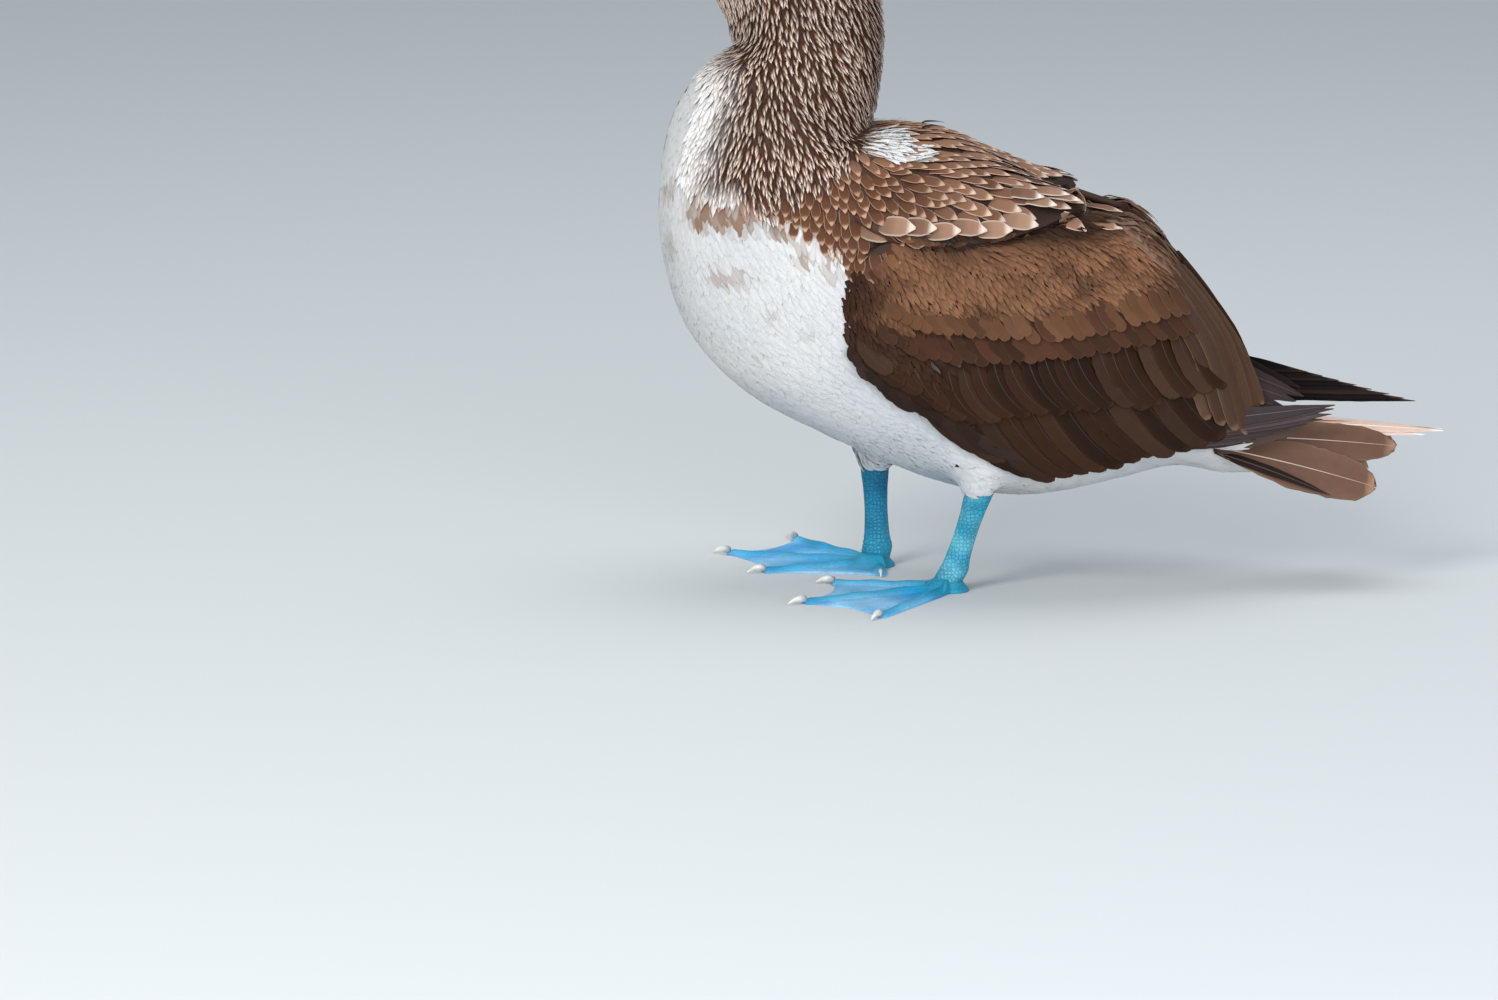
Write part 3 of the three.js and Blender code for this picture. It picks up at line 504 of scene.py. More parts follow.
def cape_grid(drop):
    """The mantle from its border on the left over the ridge to its border on the right."""
    s, j = np.meshgrid(np.linspace(0, 1, 60), np.linspace(-1, 1, 61), indexing="ij")
    t = np.abs(j)
    border = edge_at(CAPE_BORDER, s)
    x = (-34 + 132 * s) * (1 - np.sqrt(t)) + border[..., 0] * np.sqrt(t)
    top = rows_at(WING_HULL, np.interp(x, WING_HULL[:, 0], np.arange(len(WING_HULL))))[..., 1]
    z = top + (border[..., 1] - top) * t ** 1.7
    ridge = -4 - 11 * s
    lift = ridge + (4 - ridge) * np.sin(math.pi / 2 * t) + drop
    left, right = (hull_point(x, z, side, lift)[0] for side in (-1, 1))
    points = np.where((j < 0)[..., None], left, right)
    points[t == 0] = np.stack([x, np.zeros(x.shape), top + lift], -1)[t == 0]
    return points, t


def make_skin():
    """One closed skin: trunk, folded arms, mantle and thighs fused, with sockets and lids round the eyes."""
    rows = np.concatenate([np.linspace(0, 3.4, 90), np.linspace(3.4, 12, 110)[1:],
                           np.linspace(12, 25, 120)[1:]])
    turns = np.linspace(0, 1, 144, endpoint=False)
    depth = np.interp(rows, [0, 1.5, 4, 7, 9, 11, 24, 25], [0.3, 1.2, 2.4, 3.6, 3.4, 2.4, 2.4, 1.5])[:, None]
    points = trunk_point(rows[:, None], turns[None], -depth)
    lap = smooth(0.5 - rows, 0, 0.5)[:, None]
    points[..., 0] -= lap * (2.6 + 1.5 * np.cos(4 * math.pi * turns) + 0.5 * np.sin(18 * math.pi * turns + 1))
    points = shape_lids(points)
    skin = mesh_object("skin", *tube(points))
    extra = []
    for name, side in SIDES.items():
        extra.append(mesh_object(f"arm_{name}", *arm_slab(side, 3.0)))
        extra.append(mesh_object(f"thigh_core_{name}", *tube(thigh_rings(LEGS[name], 2.0))))
    outer, t = cape_grid(-2.5)
    inner, _ = cape_grid(-np.maximum(24 - 20 * t, 6.0))
    extra.append(mesh_object("mantle_core", *slab(outer, inner)))
    for other in extra:
        join = skin.modifiers.new("join", "BOOLEAN")
        join.operation, join.solver, join.object = "UNION", "MANIFOLD", other
    fused = bpy.data.meshes.new_from_object(skin.evaluated_get(bpy.context.evaluated_depsgraph_get()))
    skin.modifiers.clear()
    skin.data = fused
    for other in extra:
        bpy.data.objects.remove(other)
    fused.materials.clear()
    fused.polygons.foreach_set("use_smooth", np.ones(len(fused.polygons), bool))
    melt_thighs(fused)
    return skin


def melt_thighs(mesh):
    """Evens out the skin where the thighs meet the belly, so that no seam or knob shows under the down."""
    places = mesh_points(mesh)
    edges = np.empty(len(mesh.edges) * 2, int)
    mesh.edges.foreach_get("vertices", edges)
    a, b = edges.reshape(-1, 2).T
    share = np.zeros(len(places))
    for name, side in SIDES.items():
        heel = LEGS[name]["heel"]
        apart = np.hypot(places[:, 0] - heel[0] - 4, places[:, 1] - heel[1])
        share = np.maximum(share, (1 - smooth(apart, 26, 48)) * (1 - smooth(places[:, 2], 112, 135))
                           * (1 if side < 0 else 0.35))
        share *= smooth(np.where(apart < 15, places[:, 2], 99), heel[2] + 4, heel[2] + 14)
    degree = np.maximum(np.bincount(a, minlength=len(places)) + np.bincount(b, minlength=len(places)), 1)
    for _ in range(MELT_ROUNDS):
        total = np.stack([np.bincount(a, places[b, k], len(places))
                          + np.bincount(b, places[a, k], len(places)) for k in range(3)], 1)
        places = blend(places, total / degree[:, None], share * 0.8)
    mesh.vertices.foreach_set("co", settle(places).ravel())
    mesh.update()


def shape_lids(points):
    """Raises the skin round each eye into lids that hug the ball, and sinks it behind the opening."""
    points = points.copy()
    for side in (-1, 1):
        eye = EYE * [1, side, 1]
        near = side * points[..., 1] > 4
        dx, dz = points[..., 0] - eye[0], points[..., 2] - eye[2]
        away = np.hypot(dx, dz * 1.08)
        ball = 17 + np.sqrt(np.maximum(56.0 - away ** 2, 0))
        lid = np.interp(away, [0, 4.6, 5.4, 6.0, 7.2, 9.5, 13], [-6, -4.5, 0.3, 0.8, 0.5, 0.0, 0.0])
        wanted = np.where(away < 7.5, ball + lid, -99)
        skin_y = side * points[..., 1]
        raised = np.where(away < 5.2, ball + lid, np.maximum(skin_y, wanted))
        fold = 0.35 * np.exp(-((away - 9.3) / 0.7) ** 2) - 0.25 * np.exp(-((away - 8.1) / 0.5) ** 2)
        raised = raised + np.where(away < 12, fold, 0)
        points[..., 1] = np.where(near & (away < 13), side * raised, points[..., 1])
    points[..., 1] -= np.sign(points[..., 1]) * 0.9 * mouth_line(points)
    return points


def mouth_line(points):
    """1 along the corner of the mouth, which runs from the bill back under the eye."""
    height = np.interp(points[..., 0], [-145, -131, -117], [440.5, 439, 432])
    reach = smooth(-points[..., 0], 116, 121) * (np.abs(points[..., 1]) > 4)
    return reach * np.exp(-((points[..., 2] - height) / 0.8) ** 2)


def face_share(points):
    """The bare slate-blue skin round the eye, at the bill's base and down the throat."""
    ragged = 0.9 * drift(points, 4, 2)
    dx, dz = points[..., 0] - EYE[0], points[..., 2] - EYE[2]
    round_eye = 1 - smooth(np.hypot(dx, dz) + ragged, 8.6, 9.8)
    lores = 1 - smooth(points[..., 0] + 1.5 * ragged, -130.5, -128.5)
    below_brow = points[..., 0] + 0.05 * (points[..., 2] - 449) ** 2 + ragged
    lores = np.maximum(lores, 1 - smooth(below_brow, -122, -120))
    cheek = (1 - smooth(points[..., 0] + ragged, -121, -118.5)) * (
        1 - smooth(np.abs(points[..., 2] - 436), 5, 8))
    throat = (1 - smooth(points[..., 0] + ragged, -125, -121)) * (1 - smooth(points[..., 2], 420, 426))
    found = np.maximum(np.maximum(round_eye, lores), np.maximum(cheek, throat))
    return found * smooth(points[..., 2] + ragged, 401, 404)


skin = make_skin()
skin_points = mesh_points(skin.data)
under, _, _ = body_colours(skin_points)
wing_outline = np.array(LEADING_EDGE + WING_FOOT[1:] + TRAILING_EDGE[-2::-1] + WING_TOP[-2:0:-1], float)
# The skin on the wings and on the trunk behind them is blended to the wing's dark brown. This is partly the
# wing plumage's own colour and partly painted shade where the skin shows through gaps between feathers.
on_wing = inside(skin_points[:, [0, 2]], wing_outline) & (np.abs(skin_points[:, 1]) > 30)
behind = smooth(skin_points[:, 0], 60, 90) * (skin_points[:, 2] > 110)
under = blend(under, WING_DARK, np.maximum(on_wing, behind * 0.9) * 0.9)
tail_base = smooth(skin_points[:, 0], 204, 212) * smooth(skin_points[:, 2], 78, 84)
under = blend(under, linear("#5d473b"), tail_base)
face = face_share(skin_points)
eye_apart = np.hypot(skin_points[:, 0] - EYE[0], skin_points[:, 2] - EYE[2])
dark = np.maximum(1 - smooth(eye_apart, 5.8, 7.6), 0.8 * mouth_line(skin_points))
slate = blend(SLATE, SLATE_DARK, dark)
slate = slate * (1 + 0.12 * drift(skin_points, 5, 14))[:, None]
tint(skin, np.clip(blend(under * 0.75, slate, face), 0, 1))
finish_piece(skin, BIRD_SKIN, "plumage_white", "head", "neck", "torso", "tail", "thigh_left", "thigh_right",
             "wing_left", "wing_right")


# Feathers

class Coat:
    """What the feathers grow on: the skin's surface."""

    def __init__(self, piece):
        mesh = piece.data
        mesh.calc_loop_triangles()
        self.points = mesh_points(mesh)
        corners = np.empty(len(mesh.loop_triangles) * 3, int)
        mesh.loop_triangles.foreach_get("vertices", corners)
        self.triangles = corners.reshape(-1, 3)
        a, b, c = (self.points[self.triangles[:, k]] for k in range(3))
        self.cross = np.cross(b - a, c - a)
        self.area = np.linalg.norm(self.cross, axis=1) / 2
        self.middle = (a + b + c) / 3
        self.normal = unit(self.cross)
        self.tree = BVHTree.FromPolygons(self.points.tolist(), self.triangles.tolist())

    def open_to_air(self, reach):
        """Which triangles see no other skin within reach straight out from them."""
        clear = np.ones(len(self.middle), bool)
        for i, (point, normal) in enumerate(zip(self.middle, self.normal)):
            hit = self.tree.ray_cast(Vector(point + normal * 0.6), Vector(normal), reach)
            clear[i] = hit[0] is None
        return clear

    def scatter(self, wanted, spacing, seed):
        """Roots spread evenly over the wanted triangles, spacing apart."""
        rng = np.random.default_rng(seed)
        picked = np.flatnonzero(wanted & (self.area > 0))
        gaps = np.broadcast_to(spacing, len(self.area))[picked]
        chance = self.area[picked] / gaps ** 2
        count = int(chance.sum() * 9)
        chosen = rng.choice(picked, count, p=chance / chance.sum())
        r1, r2 = np.sqrt(rng.random(count))[:, None], rng.random(count)[:, None]
        a, b, c = (self.points[self.triangles[chosen, k]] for k in range(3))
        places = a * (1 - r1) + b * r1 * (1 - r2) + c * r1 * r2
        gap = np.broadcast_to(spacing, len(self.area))[chosen]
        tree = KDTree(count)
        for i, place in enumerate(places):
            tree.insert(place, i)
        tree.balance()
        taken = np.zeros(count, bool)
        kept = []
        for i in range(count):
            if not taken[i]:
                kept.append(i)
                for _, j, _ in tree.find_range(places[i], gap[i]):
                    taken[j] = True
        return places[kept], self.normal[chosen[kept]], gap[kept]

    def lay(self, roots, normals, lie, length, lifts, stations):
        """Centre lines and normals of feathers that start at roots and hug the skin along their lie."""
        line, facing = [], []
        here, normal = roots.copy(), normals.copy()
        step = (length / (len(stations) - 1))[:, None]
        for share in stations:
            line.append(here.copy())
            facing.append(normal.copy())
            ahead = unit(lie - normal * (lie * normal).sum(1, keepdims=True))
            here = here + ahead * step
            for i, point in enumerate(here):
                found, out, _, _ = self.tree.find_nearest(point)
                here[i] = found
                if np.dot(out, normal[i]) > -0.2:
                    normal[i] = 0.45 * normal[i] + 0.55 * np.array(out)
            normal = unit(normal)
        line, facing = np.stack(line, 1), np.stack(facing, 1)
        raised = np.stack([np.interp(share, *lifts) * np.ones(len(roots)) for share in stations], 1)
        return line, facing, raised


# The way feathers point in the side view: pixel X, pixel Y, degrees below straight back.
LIE = np.array([
    [700, -95, 8], [780, -122, 4], [845, -85, 50], [872, -30, 85], [760, -50, 35], [715, -25, 55],
    [728, 20, 80], [735, 60, 84], [800, 30, 72], [868, 60, 84], [846, 150, 98], [800, 130, 74],
    [745, 130, 92], [690, 140, 115], [662, 200, 95], [665, 280, 80], [700, 370, 55], [760, 420, 38],
    [850, 470, 25], [950, 495, 14], [1100, 480, 0], [1200, 465, -6], [760, 260, 74], [800, 350, 52],
    [900, 450, 28], [870, 150, 30], [880, 200, 56], [850, 235, 88], [810, 212, 98], [905, 225, 34],
    [950, 180, 26], [1000, 205, 16], [1080, 205, 13], [960, 138, 16], [920, 150, 24],
    [855, 320, 62], [880, 290, 58], [950, 270, 66], [1050, 270, 62], [1120, 235, 56], [1180, 290, 62],
    [900, 380, 50], [1000, 440, 55],
])


def lie_at(points, seed, sway):
    """The direction in which the feathers at these points lie, a little unruly."""
    px, py = in_view(points)
    apart = np.hypot(px[:, None] - LIE[:, 0], py[:, None] - LIE[:, 1])
    weight = 1 / (apart ** 2 + 120) ** 1.5
    angle = np.radians(LIE[:, 2])
    down = (weight * np.sin(angle)).sum(1)
    back = (weight * np.cos(angle)).sum(1)
    rng = np.random.default_rng(seed)
    turned = np.arctan2(down, back) + rng.normal(0, sway, len(points)) + 0.15 * drift(points, 18, seed)
    aside = rng.normal(0, sway, len(points)) * 0.8
    return unit(np.stack([np.cos(turned), aside, -np.sin(turned)], 1))


BAKE_PATCH = 0.003  # how wide each feather's patch is on the OFBake map
# Half width of each kind of feather along its length, as shares.
LANCE = ([0, 0.3, 0.62, 0.85, 1], [0.5, 0.85, 1, 0.58, 0.03])
SOFT = ([0, 0.3, 0.7, 0.9, 1], [0.5, 1, 0.95, 0.55, 0.08])
ROUND = ([0, 0.3, 0.72, 0.86, 0.94, 0.985, 1], [0.4, 0.9, 1, 0.95, 0.78, 0.45, 0.12])
BLADE = ([0, 0.2, 0.6, 0.85, 0.95, 1], [0.35, 0.95, 1, 0.66, 0.36, 0.05])
POINT = ([0, 0.2, 0.5, 0.8, 1], [0.4, 1, 0.9, 0.5, 0.04])


def vane_faces(stations, columns):
    """Triangles of one closed vane: its rings run over the top and back beneath, split alike on both."""
    ring = 2 * columns - 2
    faces = []
    for s in range(stations - 1):
        for k in range(ring):
            a, b = s * ring + k, s * ring + (k + 1) % ring
            on_top = k < columns - 1
            faces += [(a, b, b + ring), (a, b + ring, a + ring)] if on_top else [
                (a, b, a + ring), (b, b + ring, a + ring)]
    for start, turned in ((0, False), ((stations - 1) * ring, True)):
        for k in range(columns - 1):
            top = [start + k, start + k + 1]
            below = [start + (ring - k) % ring, start + (ring - k - 1) % ring]
            for triangle in ((top[0], below[1], top[1]), (top[0], below[0], below[1])):
                if len(set(triangle)) == 3:
                    faces.append(triangle[::-1] if turned else triangle)
    return np.array(faces)


def make_vanes(name, line, facing, raised, half, outline, stations, colours, across=(-1, 0, 1), thick=0.3,
               camber=0.08, tilt=0.0, ragged=0.0, tip_from=(0.5, 0.8), edge_from=(0.7, 0.95), soft=0.5,
               dark_ends=1.0, seed=1):
    """One joined mesh of closed vanes.

    line, facing and raised give each feather's centre line, outward normals and height at its stations; half
    is its half width. colours are those of its root, tip and edge, and tip_from and edge_from say where they
    begin. soft is how far its shading follows the body instead of the single vane, as in downy plumage.
    """
    rng = np.random.default_rng(seed)
    count = len(line)
    t = np.asarray(stations)
    shape = np.interp(t, *outline)
    along = np.gradient(line, axis=1)
    sideways = unit(np.cross(along, facing))
    up = unit(facing + sideways * np.reshape(np.tan(tilt), (-1, 1, 1)))
    sideways = unit(np.cross(along, up))
    up = unit(np.cross(sideways, along))
    across = np.asarray(across, float)
    columns = len(across)
    w = np.concatenate([across, across[-2:0:-1]])
    over = np.concatenate([np.ones(columns), -np.ones(columns - 2)])
    body = 1 - w ** 2
    wide = half[:, None] * shape[None]
    at_edge = (np.abs(w) > 0.9) * (t[:, None] > 0.25)
    rag = 1 + ragged * rng.uniform(-1, 0.35, (count, len(t), len(w))) * at_edge
    reach = wide[..., None] * w * rag
    lift = (raised[..., None] + thick * over * body * np.where(over > 0, 0.7, 0.3)
            - camber * wide[..., None] * w ** 2)
    slip = ragged * half[:, None, None] * 0.7 * rng.normal(0, 1, (count, len(t), len(w))) * (t[:, None] > 0.6)
    points = (line[:, :, None] + sideways[:, :, None] * reach[..., None] + up[:, :, None] * lift[..., None]
              + unit(along)[:, :, None] * slip[..., None])
    template = vane_faces(len(t), columns)
    per = len(t) * len(w)
    one = points[0].reshape(-1, 3)
    corners = one[template]
    volume = np.einsum("ij,ij->i", corners[:, 0], np.cross(corners[:, 1], corners[:, 2])).sum()
    if volume < 0:
        template = template[:, ::-1]
    faces = (template[None] + (np.arange(count) * per)[:, None, None]).reshape(-1, 3)
    piece = mesh_object(name, points.reshape(-1, 3), faces)
    soften(piece, np.broadcast_to(facing[:, :, None], points.shape), over > 0, soft)

    tip_share = smooth(t, *tip_from)[:, None] * np.ones(len(w))
    edge_share = smooth(np.abs(w), *edge_from)[None] * np.ones((len(t), 1))
    end_share = smooth(t, 0.93, 0.99)[:, None] * np.ones(len(w))
    root, tip, edge = (colour[:, None, None] for colour in colours)
    shades = blend(root, tip, tip_share[None])
    shades = blend(shades, edge, np.maximum(edge_share, end_share * dark_ends)[None])
    tint(piece, shades.reshape(-1, 3))
    length = np.linalg.norm(np.diff(line, axis=1), axis=2).sum(1)
    barbs = np.stack([reach, (length[:, None] * t[None])[..., None] * np.ones(len(w))], -1)
    unwrap(piece, "Barbs", barbs.reshape(-1, 2))
    patch = bake_patch(line[:, 0])
    local = np.stack(np.broadcast_arrays(w[None], t[:, None] * 2 - 1), -1) * BAKE_PATCH / 2
    unwrap(piece, "OFBake", (patch[:, None, None] + local[None]).reshape(-1, 2))
    return piece


def soften(piece, facing, top, share):
    """Turns the shading of the vanes' upper sides towards the surface that they lie on."""
    count = len(piece.data.vertices)
    normals = np.empty(count * 3)
    piece.data.vertex_normals.foreach_get("vector", normals)
    normals = normals.reshape(facing.shape)
    turned = unit(blend(normals, facing, share * top))
    piece.data.normals_split_custom_set_from_vertices(turned.reshape(-1, 3))


def bake_patch(points):
    """Each root's place on an unwrap of the skin, both halves opened flat from the belly to the back."""
    px, py = in_view(points)
    u, v = (px - 620) / 860, (py + 150) / 680
    half_width = 0.49
    u = np.clip(u, 0.01, 0.99) * half_width
    u = np.where(points[:, 1] < 0, u, 1 - u)
    return np.stack([u, 1 - np.clip(v, 0.01, 0.99)], 1)


# Plumage that grows on the skin

# Outlines in the side view, in pixels: the mantle with the shoulder that runs forward under the neck's end.
MANTLE_VIEW = np.array([(864, 118), (882, 112), (932, 118), (990, 134), (1062, 168), (1122, 198), (1122, 212),
                        (1086, 222), (1040, 229), (1000, 233), (960, 233), (930, 234), (908, 238), (890, 247),
                        (872, 260), (858, 272), (848, 270), (840, 256), (822, 242), (806, 236), (790, 222),
                        (762, 214), (758, 204), (786, 200), (808, 190), (838, 172), (855, 152), (862, 138)],
                        float)

coat = Coat(skin)
px, py = in_view(coat.middle)
side_view = coat.middle[:, [0, 2]]
in_wing = inside(side_view, wing_outline) & (np.abs(coat.middle[:, 1]) > 34)
between_wings = (coat.middle[:, 0] > 92) & (np.abs(coat.middle[:, 1]) < 46) & (coat.normal[:, 2] > 0.15)
clear = coat.open_to_air(9)
bare = face_share(coat.middle) > 0.5
wander = np.stack([px + 4 * drift(coat.middle, 9, 51), py + 4 * drift(coat.middle, 9, 52)], 1)
in_cape = inside(wander, MANTLE_VIEW) & (coat.middle[:, 2] > 205)
brown = brown_share(coat.middle)
head_line = coat.middle[:, 2] - (370 + (coat.middle[:, 0] + 116) * 0.987)
on_head = (head_line > 0) & (coat.middle[:, 2] > 360)
THIGH_VIEWS = ([[38, 55], [96, 55], [96, 84], [60, 84], [38, 84]],
               [[-50, 55], [22, 55], [24, 112], [-50, 112]])
on_leg = (coat.middle[:, 2] < 112) & (np.abs(coat.middle[:, 1]) > 20) & np.any(
    [inside(side_view, np.array(view, float)) for view in THIGH_VIEWS], 0)
low_edge = np.interp(px, [838, 842, 870, 909, 955, 1000], [300, 352, 390, 415, 439, 456])
at_bend = (wander[:, 0] < 880 + (py - 290) * 0.62) & (py < low_edge - 12)


def lies_flat(line, facing):
    """Which feathers follow the skin without rolling over a sharp edge."""
    ahead = unit(np.diff(line, axis=1))
    turned = (facing[:, 0] * facing[:, -1]).sum(-1)
    return (turned > 0.7) & ((ahead[:, 0] * ahead[:, -1]).sum(-1) > 0.7)


def grow(name, wanted, spacing, size, lifts, outline, stations, seed, sway=0.08, finish=BODY_FEATHER,
         slot="plumage_white", colours=body_colours, vary=0.08, graded=False, uneven=0.15, lean=0.12, **look):
    """Feathers over part of the skin. size is their length and half width over length.

    graded ones are as large as the spacing where they grow asks for.
    uneven is how much their sizes vary, and lean how far each leans under the next one above.
    """
    rng = np.random.default_rng(seed)
    roots, normals, gap = coat.scatter(wanted & clear & ~bare, spacing, seed)
    lie = lie_at(roots, seed, sway)
    length = size[0] * (gap if graded else 1) * rng.uniform(1 - uneven, 1 + uneven, len(roots))
    half = length * size[1] * rng.uniform(1 - uneven, 1 + uneven, len(roots))
    line, facing, raised = coat.lay(roots, normals, lie, length, lifts, stations)
    flat = lies_flat(line, facing)
    roots, half, gap, line, facing, raised = (part[flat] for part in (roots, half, gap, line, facing, raised))
    raised = raised * rng.uniform(1 - uneven, 1 + uneven, len(roots))[:, None]
    if graded:
        raised = raised * (gap / gap.mean())[:, None]
    look["tilt"] = np.sign(roots[:, 1]) * lean
    root, tip, edge = colours(roots)
    shade = 1 + vary * rng.normal(0, 1, (len(roots), 1)) + vary * drift(roots, 25, seed)[:, None]
    root, tip, edge = (np.clip(colour * (1 + (shade - 1) * share), 0, 1)
                       for colour, share in ((root, 1), (tip, 0.5), (edge, 1)))
    piece = make_vanes(name, line, facing, raised, half, outline, stations, (root, tip, edge), seed=seed,
                       **look)
    return finish_piece(piece, finish, slot)


def mantle_colours(points):
    px, py = in_view(points)
    rear = smooth(px, 860, 1040)
    fresh = np.clip(0.55 + 0.9 * drift(points, 16, 21), 0, 1) * rear
    root = blend(MANTLE_BROWN, linear("#86644f"), np.maximum(fresh, smooth(185 - py, 0, 35) * 0.8))
    edge = blend(MANTLE_EDGE, linear("#d3bba9"), rear)
    patch = white_share(points)
    return blend(root * 0.92, WHITE, patch), blend(root * 1.15, WHITE, patch), blend(edge, WHITE, patch)


# The mantle's lower edge in the side view, in pixels.
CAPE_FOOT = ([840, 858, 880, 908, 930, 960, 1000, 1040, 1086, 1122],
             [280, 272, 254, 240, 236, 235, 235, 231, 224, 212])


def covert_colours(points):
    px, py = in_view(points)
    warm = smooth(352 - py, 0, 52) * smooth(px, 850, 900)
    warm = np.clip(warm * (0.8 + 0.35 * drift(points, 14, 6)) + 0.1 * drift(points, 6, 7), 0, 1)
    root = blend(WING_DARK, WING_WARM, warm)
    # Painted shadow: the coverts just below the mantle's lower edge are blended towards near black, as shade
    # cast by the overhanging mantle.
    cape_shadow_share = 1 - smooth(py - np.interp(px, *CAPE_FOOT), 3, 24)
    root = blend(root, linear("#160d08"), 0.85 * cape_shadow_share * smooth(px, 880, 930))
    return root * 0.85, blend(root * 1.15, linear("#8d6a50"), 0.3 * warm * (1 - cape_shadow_share)), root * 0.95


def rump_colours(points):
    flecks = np.clip(1.6 * drift(points, 13, 31) - 0.5, 0, 1) * smooth(points[:, 0], 175, 200)
    root = blend(linear("#4a3226"), WHITE, flecks)
    return root, blend(root * 1.15, WHITE, flecks), blend(linear("#7a6150"), WHITE, flecks)


FINE = np.linspace(0, 1, 6)
ROUNDED = np.array([0, 0.2, 0.42, 0.6, 0.75, 0.86, 0.94, 0.985, 1])
RIMMED = (-1, -0.8, -0.4, 0, 0.4, 0.8, 1)
neck = ~on_head & ~in_cape & ~in_wing & (coat.middle[:, 0] < 20)
face_apart = np.hypot(coat.middle[:, 0] + 126, (coat.middle[:, 2] - 440) * 0.7)
head_gap = np.interp(face_apart, [10, 48], [1.35, 2.25])
grow("head_plumage", on_head & ~in_cape, head_gap, (4.8, 0.115), ([0, 0.4, 1], [-0.5, 0.5, 1.1]), LANCE,
     np.linspace(0, 1, 5), 11, slot="plumage_streaked", tip_from=(0.35, 0.75), edge_from=(0.4, 1),
     dark_ends=0, soft=0.75, graded=True, vary=0.14, ragged=0.2)
grow("neck_plumage", neck & (brown > 0.55), 2.85, (12.5, 0.105), ([0, 0.4, 1], [-0.8, 1.6, 4.0]), LANCE, FINE,
     12, slot="plumage_streaked", sway=0.15, tip_from=(0.5, 0.72), edge_from=(0.45, 1), dark_ends=0, vary=0.2,
     soft=0.55, ragged=0.3)
grow("neck_front_plumage", neck & (brown > 0.12) & (brown <= 0.55), 2.6, (13, 0.15),
     ([0, 0.4, 1], [-0.6, 1.2, 2.7]), SOFT, FINE, 25, slot="plumage_streaked", sway=0.12,
     tip_from=(0.5, 0.75), edge_from=(0.5, 1), dark_ends=0, vary=0.12, soft=0.6, ragged=0.2)
pale = (brown <= 0.12) | ((coat.middle[:, 0] >= 20) & (brown <= 0.55))
lower = ~on_head & ~in_cape & ~in_wing & pale & ~on_leg & ~between_wings
downy = dict(finish=DOWNY_FEATHER, soft=1.0, vary=0.02, camber=0.02, thick=0.12)
grow("breast_plumage", lower & (coat.middle[:, 0] < -50), 3.0, (18, 0.17), ([0, 0.4, 1], [-0.5, 0.8, 1.5]),
     SOFT, FINE, 13, ragged=0.12, **downy)
grow("belly_plumage", lower & (coat.middle[:, 0] >= -50) & (coat.middle[:, 0] < 110), 3.1, (18, 0.17),
     ([0, 0.4, 1], [-0.5, 0.8, 1.5]), SOFT, FINE, 14, ragged=0.12, **downy)
tail_root = (coat.middle[:, 0] > 206) & (coat.middle[:, 2] > 80)
grow("undertail_plumage", lower & (coat.middle[:, 0] >= 110) & ~tail_root, 4.2, (26, 0.18),
     ([0, 0.4, 1], [-0.6, 0.8, 1.6]), SOFT, ROUNDED, 15, ragged=0.1, **downy)
grow("rump_plumage", between_wings & ~in_cape & (coat.middle[:, 0] < 222), 5.4, (26, 0.2),
     ([0, 0.4, 1], [-0.8, 1.8, 3.6]), ROUND, ROUNDED, 20, slot="plumage_wing", colours=rump_colours,
     ragged=0.05)
grow("thigh_plumage", on_leg, 2.3, (11, 0.15), ([0, 0.4, 1], [-0.5, 0.7, 1.5]), SOFT, FINE, 16, ragged=0.2,
     **downy)
scallop = np.interp(px, [780, 850, 950, 1050], [4.6, 5.4, 7.2, 9.6])
grow("mantle_plumage", in_cape & ~on_head, scallop, (2.7, 0.26), ([0, 0.35, 1], [-0.8, 0.7, 2.4]), ROUND,
     ROUNDED, 17, slot="plumage_wing", colours=mantle_colours, across=RIMMED, graded=True, camber=0.05,
     edge_from=(0.8, 1), tip_from=(0.3, 0.9), sway=0.035, soft=0.3, uneven=0.06, lean=0.1, ragged=0.03)
grow("lesser_coverts", in_wing & ~in_cape & ((wander[:, 1] < 310) | at_bend), 2.72, (14, 0.12),
     ([0, 0.4, 1], [-0.5, 2.2, 4.0]), SOFT, FINE, 18, slot="plumage_wing", colours=covert_colours, ragged=0.2,
     vary=0.06, soft=0.9, sway=0.07, tip_from=(0.6, 0.9), camber=0.03, thick=0.15)
grow("wing_lining", in_wing & ~in_cape & (wander[:, 1] >= 310) & ~at_bend, 5.6, (24, 0.17),
     ([0, 0.4, 1], [-0.8, 0.3, 0.8]), SOFT, FINE, 19, slot="plumage_wing", colours=covert_colours)


def white_colours(points):
    """Clean white down."""
    plain = np.broadcast_to(WHITE, points.shape)
    return plain, plain, plain


grow("shoulder_down", (white_share(coat.middle) > 0.35) & (coat.middle[:, 2] > 230), 2.6, (12, 0.14),
     ([0, 0.4, 1], [0.5, 2.4, 3.9]), SOFT, FINE, 22, sway=0.16, colours=white_colours, ragged=0.3, **downy)


def seen_at(place):
    """The point seen at a pixel of the side view, at a distance from the bird's middle."""
    px, py, y = np.moveaxis(np.asarray(place, float), -1, 0)
    v = (ZERO_PIXEL[1] - py) * PIXEL
    return np.stack([(px - ZERO_PIXEL[0]) * PIXEL, y, (v + y * math.sin(ELEVATION)) / math.cos(ELEVATION)],
                    -1)


def seen_on_skin(places):
    """Where the skin shows at pixels of the side view, on the left, with its normals."""
    toward = Vector((0, math.cos(ELEVATION), -math.sin(ELEVATION)))
    hits = [coat.tree.ray_cast(Vector(seen_at((*place, 160)) * [1, -1, 1]), toward) for place in places]
    hits = [hit if hit[0] else coat.tree.find_nearest(Vector(seen_at((*place, 40)) * [1, -1, 1]))
            for hit, place in zip(hits, places)]
    return np.array([hit[0] for hit in hits]), np.array([hit[1] for hit in hits])


